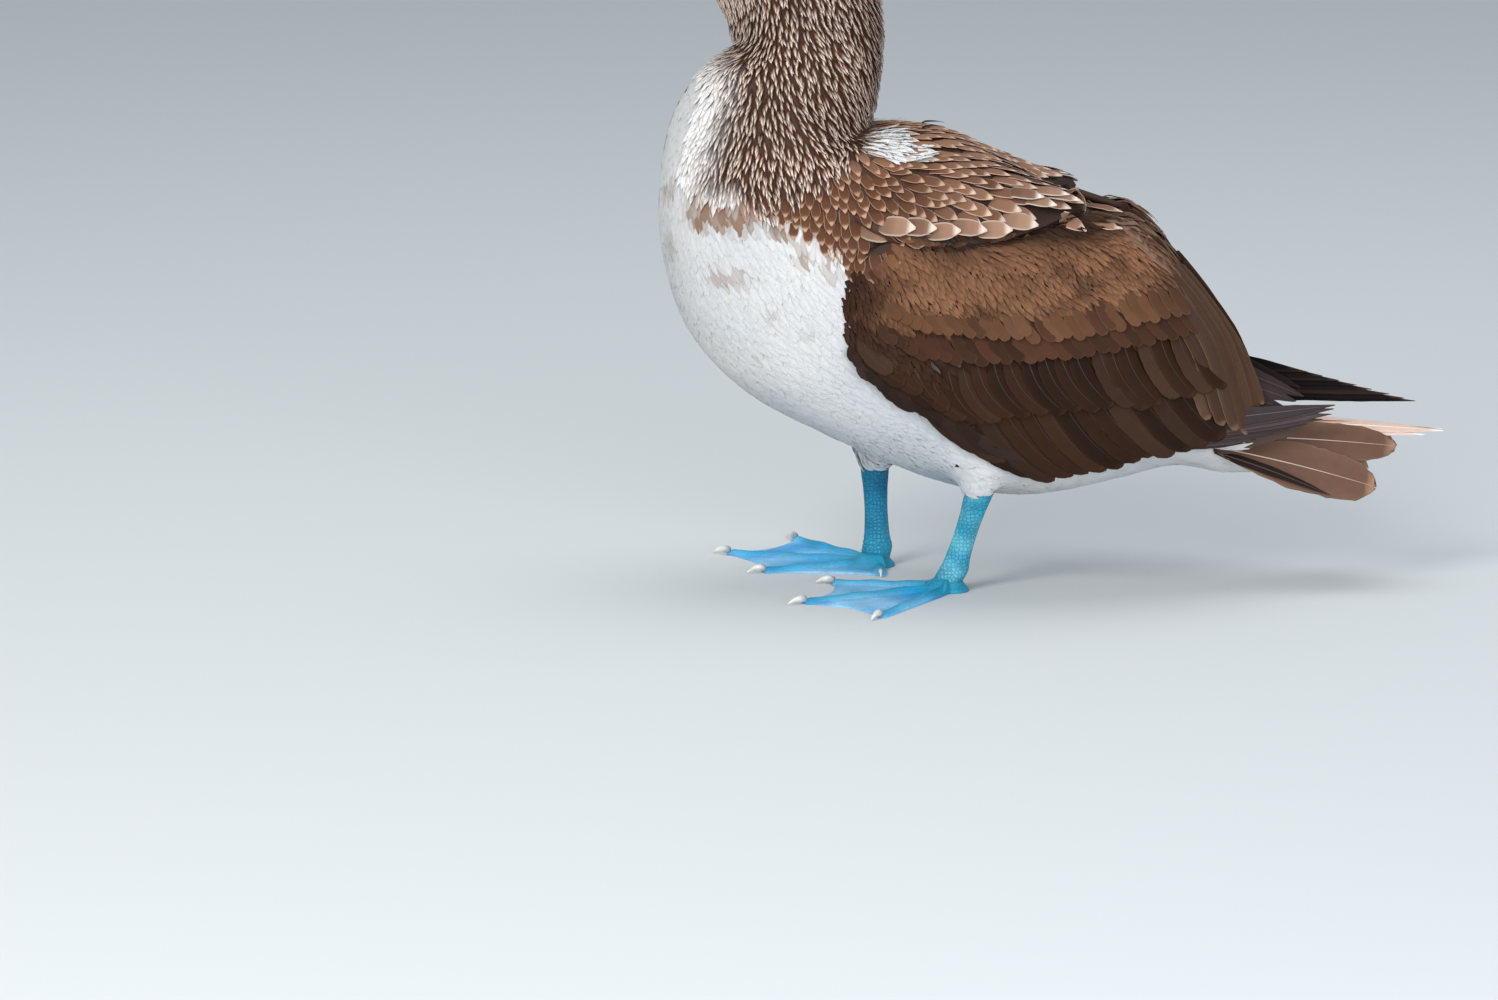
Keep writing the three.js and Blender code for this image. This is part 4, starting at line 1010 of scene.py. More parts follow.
def overhang(name, tips, angle, length, half, lifts, outline, colours, edge, seed, **look):
    """A row of feathers on both sides whose tips hang over what lies below, by the pixels of their tips."""
    rng = np.random.default_rng(seed)
    tips = np.array(tips, float)
    turned = np.radians(angle + rng.normal(0, 4, len(tips)))
    reach = length * rng.uniform(0.9, 1.1, len(tips))
    back = np.stack([np.cos(turned), np.sin(turned)], 1) * (reach / PIXEL)[:, None]
    roots, normals = seen_on_skin(tips - back)
    lie = np.stack([np.cos(turned), np.zeros(len(tips)), -np.sin(turned)], 1)
    lines = coat.lay(roots, normals, lie, reach, lifts, ROUNDED)
    flat = lies_flat(*lines[:2])
    lines = [part[flat] for part in lines]
    mirror = np.array([1, -1, 1])
    line, facing = (np.concatenate([part, part * mirror]) for part in lines[:2])
    raised = np.concatenate([lines[2], lines[2]])
    shade = rng.random(len(line))
    root = blend(linear(colours[0]), linear(colours[1]), shade)
    edges = np.broadcast_to(linear(edge), root.shape)
    piece = make_vanes(name, line, facing, raised, np.tile(half * rng.uniform(0.9, 1.1, flat.sum()), 2),
                       outline, ROUNDED, (root * 0.8, root * 1.1, edges), across=RIMMED,
                       tilt=np.sign(line[:, 0, 1]) * 0.12, edge_from=(0.78, 1), seed=seed, **look)
    return finish_piece(piece, BODY_FEATHER, "plumage_wing")


overhang("scapulars", [(893, 243), (912, 239), (932, 239), (955, 240), (980, 240), (1005, 238), (1030, 234),
                       (1055, 230), (1080, 225)], 9, 25, 6.6,
         ([0, 0.35, 1], [-0.6, 3.0, 5.8]), ROUND, ("#6d4f3e", "#94745f"), "#d8c4b4", 23, camber=0.06,
         soft=0.25)
overhang("scapulars_upper", [(1048, 217), (1072, 211), (1092, 204), (1062, 205), (1036, 207)], 13, 24, 6.2,
         ([0, 0.35, 1], [-0.6, 3.4, 6.6]), ROUND, ("#6d4f3e", "#8f6f5a"), "#e4d4c8", 24, camber=0.12,
         soft=0.1)
overhang("elbow_coverts", [(1123, 214), (1133, 215), (1143, 219), (1151, 226), (1158, 234), (1165, 241),
                           (1171, 250), (1177, 260), (1182, 270), (1187, 281), (1140, 230), (1152, 244),
                           (1162, 262)], 42, 24, 4.2,
         ([0, 0.35, 1], [-1.0, 2.6, 5.0]), POINT, ("#2a1b13", "#4a3325"), "#6b5240", 25, camber=0.1,
         ragged=0.12)
overhang("dark_shoulder_feather", [(941, 134)], 6, 17, 3.4, ([0, 0.35, 1], [0.5, 3.6, 5.4]), BLADE,
         ("#1a1214", "#221819"), "#2c2224", 26, ragged=0.06)


# Coverts and flight feathers laid in rows on the wing

def spread(points, count):
    """count places spaced evenly along a line of points."""
    points = np.asarray(points, float)
    gone = np.concatenate([[0], np.cumsum(np.linalg.norm(np.diff(points, axis=0), axis=1))])
    along = np.linspace(0, gone[-1], count)
    return np.stack([np.interp(along, gone, points[:, k]) for k in range(points.shape[1])], 1)


# Rows of wing feathers by the pixels of their tips in the side view, front to rear. length and angle (how
# steeply they point down) are given for the row's two ends, bend is how far they curve and lifts their
# heights off the hull.
WING_ROWS = {
    "edge_coverts": {
        "tips": [(858, 366), (876, 386), (900, 403), (930, 420), (962, 436), (996, 452), (1020, 462)],
        "count": 17, "length": (14, 46), "angle": (66, 34), "bend": 4, "lifts": (-3, 1.0, 0.6),
        "half": (2.8, 4.6), "colour": ("#20140e", "#302018"), "edge": "#3c2a20", "outline": BLADE,
    },
    "median_coverts_upper": {
        "tips": [(898, 322), (920, 334), (942, 338), (965, 341), (1010, 341), (1050, 343), (1090, 337),
                 (1130, 329), (1160, 321), (1190, 312)],
        "count": 29, "length": (16, 27), "angle": (54, 63), "bend": 2, "lifts": (-2.5, 1.4, 3.6),
        "half": (3.4, 5.0), "colour": ("#452c1d", "#60412c"), "edge": "#70503a", "outline": ROUND,
    },
    "median_coverts_lower": {
        "tips": [(893, 344), (915, 357), (940, 363), (965, 367), (1000, 366), (1050, 360), (1085, 357),
                 (1120, 351), (1150, 344), (1190, 334)],
        "count": 27, "length": (20, 34), "angle": (50, 63), "bend": 3, "lifts": (-2.5, 0.8, 2.8),
        "half": (3.8, 5.8), "colour": ("#321e13", "#482d1d"), "edge": "#583a29", "outline": ROUND,
    },
    "greater_coverts": {
        "tips": [(892, 375), (908, 390), (928, 402), (958, 416), (985, 423), (1022, 417), (1060, 413),
                 (1100, 409), (1140, 406), (1168, 400), (1196, 394), (1218, 386)],
        "count": 22, "length": (34, 60), "angle": (48, 67), "bend": 5, "lifts": (-3, 0.2, 2.3),
        "half": (6.4, 8.4), "colour": ("#20120a", "#362013"), "edge": "#4a3122", "outline": ROUND,
    },
    "secondaries": {
        "tips": [(985, 455), (1012, 468), (1042, 478), (1066, 477), (1092, 470), (1120, 463), (1148, 458),
                 (1172, 453), (1196, 448), (1218, 443)],
        "count": 15, "length": (84, 92), "angle": (50, 60), "bend": 8, "lifts": (-4.5, -1.2, 0.6),
        "half": (9.4, 10), "colour": ("#22140c", "#392316"), "edge": "#483022", "outline": ROUND,
    },
}
# The innermost feathers, along the wing's rear edge: pixel X, pixel Y and distance from the middle at root,
# middle and tip, then half width.
REAR_FEATHERS = [
    ((1132, 304, 68), (1166, 364, 63), (1188, 414, 56), 6.4),
    ((1140, 296, 66), (1178, 358, 61), (1202, 420, 54), 6.4),
    ((1150, 286, 64), (1190, 352, 59), (1216, 426, 52), 6.2),
    ((1158, 278, 59), (1201, 347, 55), (1229, 431, 48), 5.9),
    ((1166, 271, 52), (1211, 343, 50), (1240, 435, 44), 5.6),
    ((1173, 267, 43), (1219, 342, 44), (1248, 432, 40), 5.0),
    ((1180, 266, 32), (1226, 343, 36), (1254, 422, 36), 4.4),
    ((1187, 271, 22), (1232, 345, 28), (1257, 406, 32), 3.6),
]
FLIGHT_STATIONS = 1 - (1 - np.linspace(0, 1, 26)) ** 1.3
SHAFT_SIDES = 6
PRIMARY_COUNT = 9


def wing_row(side, tips, count, length, angle, bend, lifts, stations):
    """Centre lines of one row, each curved a little in the side view and placed a little unevenly."""
    rng = np.random.default_rng(count)
    places = spread(tips, count) + rng.normal(0, 1, (count, 2)) * (1.2, 1.6)
    tip_x, tip_z = wing_place(places[:, 0], places[:, 1])
    f = np.linspace(0, 1, count)
    slope = np.radians(angle[0] + (angle[1] - angle[0]) * f + rng.normal(0, 1.3, count))[:, None]
    left = (1 - stations[None]) * (length[0] + (length[1] - length[0]) * f)[:, None]
    sideways = bend * np.sin(math.pi * stations[None])
    x = tip_x[:, None] - np.cos(slope) * left - np.sin(slope) * sideways
    z = tip_z[:, None] + np.sin(slope) * left - np.cos(slope) * sideways
    raised = np.interp(stations, [0, 0.3, 1], lifts)
    points, normals = hull_point(x, z, side, np.zeros(x.shape))
    return points, normals, np.broadcast_to(raised, x.shape)


def through_view(rows, side):
    """Centre lines through the root, middle and tip that each row gives in the side view."""
    path = np.array([seen_at(row) for row in rows]) * [1, side, 1]
    return np.stack([rows_at(one, FLIGHT_STATIONS * 2) for one in path])


def shafts(name, line, facing, raised, size, colour, slot):
    """The shafts of large feathers: half-round ridges of horn that thin towards the tip."""
    count, stations = line.shape[:2]
    across = unit(np.cross(np.gradient(line, axis=1), facing))
    turn = np.linspace(0, 2 * math.pi, SHAFT_SIDES, endpoint=False)
    width = size * (1 - 0.85 * np.linspace(0, 1, stations))
    ring = across[:, :, None] * np.cos(turn)[:, None] + facing[:, :, None] * np.sin(turn)[:, None] * 0.8
    points = (line[:, :, None] + ring * width[None, :, None, None]
              + facing[:, :, None] * (raised + 0.2)[..., None, None])
    every, faces = [], []
    for k, rings in enumerate(points):
        made, sides = tube(rings)
        every.append(made)
        faces += [[corner + k * len(made) for corner in face] for face in sides]
    every = np.concatenate(every)
    piece = mesh_object(name, every, faces)
    tint(piece, np.broadcast_to(linear(colour), (len(every), 3)))
    return finish_piece(piece, SHAFT_HORN, slot)


def shaft_material():
    """The feather's shaft: smooth translucent horn with a satin shine."""
    made, add = material("feather_shaft_satin_horn")
    colour = add("ShaderNodeAttribute", attribute_name="Tint")
    place = add("ShaderNodeTexCoord")
    grain = add("ShaderNodeTexNoise", {"Vector": place.outputs["Object"]}, Scale=300.0, Detail=2.0)
    raised = add("ShaderNodeBump", {"Height": grain.outputs["Fac"]}, Strength=0.2, Distance=0.0001)
    surface = add("ShaderNodeBsdfPrincipled", {"Base Color": colour.outputs["Color"],
                                               "Normal": raised.outputs[0]}, Roughness=0.6, IOR=KERATIN_IOR)
    add("ShaderNodeOutputMaterial", {"Surface": surface.outputs[0]})
    return made


SHAFT_HORN = shaft_material()


def big_feathers(name, line, facing, raised, half, outline, colours, edge, seed, slot="plumage_wing",
                 shaft=None, shaft_size=0.45, finish=FLIGHT_FEATHER, **look):
    """Large feathers with worn edges, in shades between the two colours, some with a painted grey sheen."""
    rng = np.random.default_rng(seed)
    root = blend(linear(colours[0]), linear(colours[1]), rng.random(len(line)))
    edges = np.broadcast_to(linear(edge), root.shape)
    # Painted sheen: some feathers are blended towards grey, standing in for the grey highlight that their
    # curved vanes catch.
    painted_grey_sheen = np.clip(rng.normal(-0.1, 0.15, len(line)), 0, 0.12)
    root = blend(root, linear("#6d594c"), painted_grey_sheen) * rng.uniform(0.92, 1.08, (len(line), 1))
    settings = {"across": (-1, -0.9, -0.45, 0, 0.45, 0.9, 1), "edge_from": (0.88, 1.0), "thick": 0.4,
                "ragged": 0.05, "soft": 0.0, **look}
    finish_piece(make_vanes(name, line, facing, raised, half, outline, FLIGHT_STATIONS,
                            (root, root * 1.08, edges), seed=seed, **settings), finish, slot)
    if shaft:
        shafts(name + "_shafts", line, facing, raised, shaft_size, shaft, slot)


for side_name, side in SIDES.items():
    for row_name, row in WING_ROWS.items():
        spec = dict(row)
        colours, edge, outline, half = (spec.pop(key) for key in ("colour", "edge", "outline", "half"))
        line, facing, raised = wing_row(side, stations=FLIGHT_STATIONS, **spec)
        count = spec["count"]
        large = row_name in ("greater_coverts", "secondaries")
        big_feathers(f"{row_name}_{side_name}", line, facing, raised, np.linspace(*half, count), outline,
                     colours, edge, 40 + count, tilt=side * 0.15, camber=0.1,
                     shaft="#2a1b14" if large else None, finish=FLIGHT_FEATHER if large else BODY_FEATHER,
                     soft=0.1 if large else 0.5, dark_ends=0.4)
    halves = np.array([row[3] for row in REAR_FEATHERS])
    line = through_view([row[:3] for row in REAR_FEATHERS], side)
    outward = np.linspace(0.1, 0.7, len(line))[:, None, None]
    facing = np.empty(line.shape)
    facing[...] = (0.35, side, 0)
    facing[..., 2:] = outward
    facing = unit(facing)
    raised = np.broadcast_to(np.interp(FLIGHT_STATIONS, [0, 0.25, 0.5, 1], [-4.5, -1.5, 1.4, 1.8]),
                             line.shape[:2])
    big_feathers(f"tertials_{side_name}", line, facing, raised, halves, ROUND, ("#35231a", "#523a2b"),
                 "#8a6c56", 55, tilt=side * 0.12, shaft="#2a1b14", dark_ends=0.6)

for side_name, side in SIDES.items():
    spec = PRIMARIES[side_name]
    f = np.linspace(0, 1, PRIMARY_COUNT)
    starts, ends = (rows_at(spec[key], f * (len(spec[key]) - 1)) for key in ("roots", "tips"))
    share = FLIGHT_STATIONS[None, :, None]
    line = starts[:, None] + (ends - starts)[:, None] * share
    line[..., 1] += side * (7 * np.sin(math.pi * share[..., 0]) - 0.7 * np.arange(PRIMARY_COUNT)[:, None])
    facing = np.broadcast_to(unit(np.array([0.12, side, 0.35])), line.shape)
    # Painted shade: the right wing's primaries, on the far side, are a near-black copy of the left ones' dark
    # slate-brown.
    colours = ("#141112", "#1e191a") if side_name == "right" else ("#332b2b", "#453d3f")
    big_feathers(f"primaries_{side_name}", line, facing, np.zeros(line.shape[:2]),
                 np.full(PRIMARY_COUNT, 7.4), POINT, colours, "#4a382e", 61, shaft="#5e5754", camber=0.08)

# The wing tips' inner feathers, which fill the space over the rump: pixel X, pixel Y and distance from the
# middle at root, middle and tip.
INNER_FEATHERS = [((1150, 330, 20), (1225, 366, 20), (1300, 397, 16)), ((1150, 345, 28), (1225, 378, 26),
                  (1292, 402, 22)), ((1150, 360, 34), (1225, 392, 32), (1284, 410, 26)),
                  ((1150, 378, 40), (1225, 408, 37), (1300, 412, 30))]
for side_name, side in SIDES.items():
    line = through_view(INNER_FEATHERS, side)
    facing = np.broadcast_to(unit(np.array([0.12, side, 0.6])), line.shape)
    big_feathers(f"inner_primaries_{side_name}", line, facing, np.zeros(line.shape[:2]),
                 np.full(len(line), 8.5), POINT, ("#1d1818", "#2b2425"), "#3d3230", 63, shaft="#4c4542")

# Tail feathers from the middle outwards: tip X, distance from the middle, tip Z, half width, and how
# steeply the blade slopes down and outwards.
TAIL_BLADES = [(357, 6, 100, 9.5, 0.5), (345, 9, 98, 7.5, 0.6), (318, 14, 95.5, 11, 1.0),
               (325, 18, 92, 14, 1.3), (300, 29, 74, 13, 1.7), (310, 34, 68, 17, 1.9),
               (281, 41, 63.5, 3.6, 2.4)]
TAIL_END = ([0, 0.15, 0.5, 0.8, 0.9, 0.96, 0.99, 1], [0.3, 0.6, 1, 0.94, 0.78, 0.52, 0.28, 0.06])
for side_name, side in SIDES.items():
    tip_x, tip_y, tip_z, halves, slope = np.array(TAIL_BLADES).T
    i = np.arange(len(TAIL_BLADES))
    starts = np.stack([np.full(len(i), 205.0), side * (3 + 4.6 * i), 106 - 2.6 * i - 0.6 * (side > 0)], 1)
    ends = np.stack([tip_x, side * tip_y, tip_z - 0.8 * (side > 0)], 1)
    share = FLIGHT_STATIONS[None, :, None]
    line = starts[:, None] + (ends - starts)[:, None] * share
    line[..., 2] += 1.5 * np.sin(math.pi * share[..., 0])
    turned = slope[:, None] * smooth(share[..., 0], -0.2, 0.6)
    facing = unit(np.stack([np.zeros(turned.shape), side * turned, np.ones(turned.shape)], -1))
    flat = np.zeros(turned.shape)
    for name, chosen, outline, colours, edge, shaft in (
            ("tail_centre", slice(0, 2), POINT, ("#c0a091", "#dcc8bb"), "#efe7df", "#efe6dc"),
            ("tail_fan", slice(2, 6), TAIL_END, ("#523b30", "#6b5042"), "#94755f", "#b8a596"),
            ("tail_outer", slice(6, 7), POINT, ("#1d1410", "#2a1e18"), "#2f221b", "#3a2c24")):
        big_feathers(f"{name}_{side_name}", line[chosen], facing[chosen], flat[chosen], halves[chosen],
                     outline, colours, edge, 71, slot="plumage_tail", shaft=shaft, shaft_size=0.6)


# Bill and eyes

BILL_LENGTH, BILL_SLOPE, BILL_BASE = 103, 0.075, np.array([-140.3, 0, 440.0])
# Along the bill: share of its length, height above the mouth line, depth below it, half width.
BILL_ROWS = [(0, 17, 13, 13.5), (0.2, 15.2, 11.4, 11.3), (0.45, 12.2, 8.6, 8.6), (0.68, 9, 5.8, 6.2),
             (0.86, 6.4, 3.6, 4.2), (0.96, 3.9, 1.8, 2.6), (1, 1.2, 0.7, 1.2)]


def horn_material(name, noise_scale, roughness, coat):
    """Smooth horn, faintly streaked along its growth, with a thin glossy coat."""
    made, add = material(name)
    colour = add("ShaderNodeAttribute", attribute_name="Tint")
    place = add("ShaderNodeTexCoord")
    stretch = add("ShaderNodeMapping", {"Vector": place.outputs["Object"], "Scale": (0.25, 1, 1)})
    grain = add("ShaderNodeTexNoise", {"Vector": stretch.outputs[0]}, Scale=noise_scale, Detail=5.0)
    level = add("ShaderNodeMapRange", {"Value": grain.outputs["Fac"]}, From_Min=0.3, From_Max=0.7, To_Min=0.8,
                To_Max=1.15)
    shaded = add("ShaderNodeVectorMath", {0: colour.outputs["Color"], "Scale": level.outputs[0]},
                 operation="SCALE")
    raised = add("ShaderNodeBump", {"Height": grain.outputs["Fac"]}, Strength=0.3, Distance=0.0002)
    surface = add("ShaderNodeBsdfPrincipled", {"Base Color": shaded.outputs[0], "Normal": raised.outputs[0]},
                  Roughness=roughness, IOR=1.55, Coat_Weight=coat, Coat_Roughness=0.25)
    add("ShaderNodeOutputMaterial", {"Surface": surface.outputs[0]})
    return made


BILL_HORN = horn_material("bill_horn_slate", 350.0, 0.42, 0.15)
CLAW_HORN = horn_material("claw_horn_pale", 500.0, 0.45, 0.1)


def mandible(level):
    """One half of the bill, with groove, ridge along its top and fine saw teeth on the cutting edge."""
    share = np.linspace(-0.045, 1, 92)
    place = np.interp(share, [row[0] for row in BILL_ROWS], np.arange(len(BILL_ROWS)))
    _, above, below, half = np.moveaxis(rows_at(BILL_ROWS, place), -1, 0)
    high = above if level > 0 else below
    angle = np.linspace(0, math.pi, 41)[None]
    forward = unit(np.array([-1, 0, -BILL_SLOPE]))
    up = np.array([forward[2], 0, -forward[0]])
    around = np.sin(angle) ** 0.9
    groove_at = math.pi * (0.27 if level > 0 else 0.2)
    groove = sum(np.exp(-((angle - centre) / 0.07) ** 2) for centre in (groove_at, math.pi - groove_at))
    fade = smooth(share, 0.0, 0.06)[:, None] * (1 - smooth(share, 0.75, 0.95))[:, None]
    inward = 1 - 0.075 * groove * fade
    ridge = 0.5 * np.exp(-((angle - math.pi / 2) / 0.16) ** 2) * (level > 0)
    lip = 1 + 0.03 * np.exp(-(np.minimum(angle, math.pi - angle) / 0.12) ** 2)
    teeth = 0.16 * np.sin(share[:, None] * 2 * math.pi * 46) * smooth(share, 0.35, 0.5)[:, None]
    teeth = teeth * np.exp(-(np.minimum(angle, math.pi - angle) / 0.07) ** 2)
    hook = -1.1 * smooth(share, 0.9, 1.0)[:, None] * (level > 0)
    rise = level * (0.15 + high[:, None] * around * inward + ridge + teeth) + hook
    wide = half[:, None] * np.cos(angle) * inward * lip
    centre = BILL_BASE + forward * 0.3 + forward * (share * BILL_LENGTH)[:, None]
    rings = centre[:, None] + up * rise[..., None] + np.array([0, 1, 0]) * wide[..., None]
    name = "bill_upper" if level > 0 else "bill_lower"
    piece = mesh_object(name + "_horn", *tube(rings))
    along = np.concatenate([np.repeat(share, angle.shape[1]), [0, 1]])
    colour = blend(linear("#4e5f6b"), linear("#6f7a7b"), smooth(along, 0.05, 0.7))
    colour = blend(colour, linear("#8f9187"), smooth(along, 0.8, 1.0) * 0.6)
    tint(piece, colour)
    return finish_piece(piece, BILL_HORN, "bill_horn", name)


for level in (1, -1):
    mandible(level)


def eye_material():
    """A wet eye: the iris under a clear, very glossy cornea."""
    made, add = material("eye_wet_cornea")
    colour = add("ShaderNodeAttribute", attribute_name="Tint")
    surface = add("ShaderNodeBsdfPrincipled", {"Base Color": colour.outputs["Color"]}, Roughness=0.35,
                  IOR=1.376, Coat_Weight=1.0, Coat_Roughness=0.02)
    add("ShaderNodeOutputMaterial", {"Surface": surface.outputs[0]})
    return made


EYE_WET = eye_material()


def make_eye(name, side):
    """The eyeball with a yellow iris, a round pupil and a slightly bulging cornea."""
    polar = np.linspace(0.02, math.pi - 0.02, 60)[:, None]
    turn = np.linspace(0, 2 * math.pi, 72, endpoint=False)[None]
    bulge = 0.35 * np.exp(-(polar / 0.55) ** 2)
    radius = EYE_RADIUS - 0.35 + bulge
    x, z = radius * np.sin(polar) * np.cos(turn), radius * np.sin(polar) * np.sin(turn)
    y = side * radius * np.cos(polar) * np.ones(turn.shape)
    rings = np.stack([x, y, z], -1) + EYE * [1, side, 1]
    piece = mesh_object(f"eyeball_{name}", *tube(rings))
    angle = np.concatenate([np.repeat(polar[:, 0], 72), [0, math.pi]])
    spin = np.concatenate([np.tile(turn[0], 60), [0, 0]])
    fibres = 0.5 + 0.5 * np.sin(spin * 37 + 3 * np.sin(spin * 5))
    iris = blend(linear("#d9b42a"), linear("#f0dc74"), fibres * 0.6)
    iris = blend(iris, linear("#7d5f14"), smooth(angle, 0.62, 0.78))
    colour = blend(np.broadcast_to(linear("#050506"), iris.shape), iris, smooth(angle, 0.34, 0.38))
    colour = blend(colour, linear("#20262b"), smooth(angle, 0.76, 0.84))
    tint(piece, colour)
    return finish_piece(piece, EYE_WET, "eye", f"eye_{name}")


for side_name, side in SIDES.items():
    make_eye(side_name, side)


# Legs and feet

TOES = [("hind", -112, 36), ("inner", -38, 80), ("middle", 0, 106), ("outer", 37, 100)]
WEB_THICK, TOE_HIGH, TIP_HIGH, TOE_WIDE = 1.6, 6, 3.7, 4.4
MOUND_HIGH, MOUND_REACH, HEEL_REACH, WEB_SAG = 9, 9, 11.5, 0.09
SHANK_ROWS = [(0, 10.5, 7.6), (0.08, 10, 7.2), (0.22, 8.4, 5.5), (0.5, 7.6, 5), (0.8, 8.1, 5.5), (1, 9.2, 7)]


def foot_skin_material(name, cell, depth, roughness):
    """Leathery bird skin with small net-like scales, cell mm across, supple and slightly waxy."""
    made, add = material(name)
    colour = add("ShaderNodeAttribute", attribute_name="Tint")
    place = add("ShaderNodeTexCoord")
    scales = add("ShaderNodeTexVoronoi", {"Vector": place.outputs["Object"]}, feature="DISTANCE_TO_EDGE",
                 Scale=1000 / cell, Randomness=0.6)
    plates = add("ShaderNodeMapRange", {"Value": scales.outputs["Distance"]}, From_Max=0.18)
    patches = add("ShaderNodeTexNoise", {"Vector": place.outputs["Object"]}, Scale=55.0, Detail=4.0)
    level = add("ShaderNodeMapRange", {"Value": patches.outputs["Fac"]}, From_Min=0.35, From_Max=0.65,
                To_Min=0.86, To_Max=1.12)
    seams = add("ShaderNodeMapRange", {"Value": plates.outputs[0]}, To_Min=0.68, To_Max=1.06)
    both = add("ShaderNodeMath", {0: level.outputs[0], 1: seams.outputs[0]}, operation="MULTIPLY")
    shaded = add("ShaderNodeVectorMath", {0: colour.outputs["Color"], "Scale": both.outputs[0]},
                 operation="SCALE")
    raised = add("ShaderNodeBump", {"Height": plates.outputs[0]}, Strength=0.7, Distance=depth / 1000)
    surface = add("ShaderNodeBsdfPrincipled", {"Base Color": shaded.outputs[0], "Normal": raised.outputs[0]},
                  Roughness=roughness, IOR=1.45, Specular_IOR_Level=0.35)
    add("ShaderNodeOutputMaterial", {"Surface": surface.outputs[0]})
    return made


WEB_SKIN = foot_skin_material("foot_web_supple_skin", 1.3, 0.12, 0.5)
SHANK_SKIN = foot_skin_material("shank_net_scales", 2.5, 0.5, 0.45)


def web_reach(degrees):
    """How far the foot reaches from the ankle in each direction."""
    angles = [toe[1] for toe in TOES]
    lengths = [toe[2] for toe in TOES]

    def beside(angle, length):
        apart = np.abs(degrees - angle)
        away = np.sin(np.radians(np.minimum(np.minimum(apart, 360 - apart), 90)))
        return np.maximum(HEEL_REACH, np.minimum(length, TOE_WIDE / np.maximum(away, 0.01)))

    reach = np.maximum(beside(angles[0], lengths[0]), beside(angles[-1], lengths[-1]))
    for k in range(3):
        between = math.radians(angles[k + 1] - angles[k])
        past = np.radians(degrees - angles[k])
        inside_web = (degrees >= angles[k]) & (degrees <= angles[k + 1])
        safe = np.where(inside_web, past, between / 2)
        chord = lengths[k] * lengths[k + 1] * math.sin(between) / (
            lengths[k] * np.sin(safe) + lengths[k + 1] * np.sin(between - safe))
        dip = 1 - WEB_SAG * np.sin(math.pi * safe / between)
        web = np.maximum(chord * dip, np.maximum(beside(angles[k], lengths[k]),
                                                 beside(angles[k + 1], lengths[k + 1])))
        reach = np.where(inside_web, web, reach)
    return reach


def make_foot(name, side):
    """One webbed foot: toes with joint plates, webs that sag between them and a mound at the ankle."""
    leg = LEGS[name]
    degrees = np.linspace(-180, 180, 420, endpoint=False)
    reach = web_reach(degrees)[None]
    share = np.linspace(0.004, 1, 76)[:, None]
    radius = reach * share
    height, toe_share = np.zeros(radius.shape), np.zeros(radius.shape)
    for _, angle, length in TOES:
        aside = radius * np.sin(np.radians(np.minimum(np.abs(degrees - angle), 90)))[None]
        past = np.clip(radius / length, 0, 1)
        knuckles = 1 + 0.08 * np.cos(past * math.pi * 2 * (3 if length > 50 else 1.5))
        profile = np.exp(-(aside / TOE_WIDE) ** 2)
        scutes = (0.28 * np.abs(np.sin(math.pi * radius / 2.3)) * np.exp(-(aside / 2.6) ** 2)
                  * smooth(radius, 10, 18))
        ridge = (TOE_HIGH + (TIP_HIGH - TOE_HIGH) * past) * knuckles * profile
        height = np.maximum(height, ridge + scutes - 0.2)
        toe_share = np.maximum(toe_share, profile)
    mound = MOUND_HIGH * np.exp(-np.maximum(radius / MOUND_REACH - 1, 0) ** 2)
    folds = np.sin(degrees[None] * 0.55 + 2.2 * np.sin(degrees[None] * 0.13) + radius * 0.02)
    web = WEB_THICK - 0.2 + 0.35 * folds * smooth(radius, 20, 60) * (1 - toe_share) * (1 - 0.6 * share)
    height = np.maximum(np.maximum(height, mound), web)
    rim = smooth(share, 0.965, 1.0)
    height = height * (1 - 0.55 * rim) * (1 - 0.75 * smooth(share, 0.4, 1.0) * (reach < 17))
    heading = np.radians(leg["heading"] + degrees)[None]
    x = leg["ankle"][0] - np.cos(heading) * radius
    y = leg["ankle"][1] + side * np.sin(heading) * radius
    top = np.stack([x, y, height], -1)
    sole_share = np.linspace(1.0, 0.004, 40)[:, None]
    sole_x = leg["ankle"][0] - np.cos(heading) * reach * sole_share
    sole_y = leg["ankle"][1] + side * np.sin(heading) * reach * sole_share
    sole = np.stack([sole_x, sole_y, np.zeros(sole_x.shape)], -1)
    rings = np.concatenate([top, sole])
    points, faces = tube(rings)
    piece = mesh_object(f"foot_skin_{name}", points, faces)
    base = blend(linear("#2b9fdf"), linear("#93d0f7"), np.clip(0.5 + 0.6 * drift(points, 22, 4), 0, 1))
    spread_share = np.concatenate([toe_share.ravel(), np.zeros(sole.shape[0] * sole.shape[1]), [0, 0]])
    base = blend(base, linear("#1397bd"), spread_share * 0.85)
    near = 1 - smooth(np.hypot(points[:, 0] - leg["ankle"][0], points[:, 1] - leg["ankle"][1]), 8, 40)
    base = blend(base, linear("#2593b3"), near)
    tint(piece, base)
    return finish_piece(piece, WEB_SKIN, "foot_skin", f"foot_{name}")


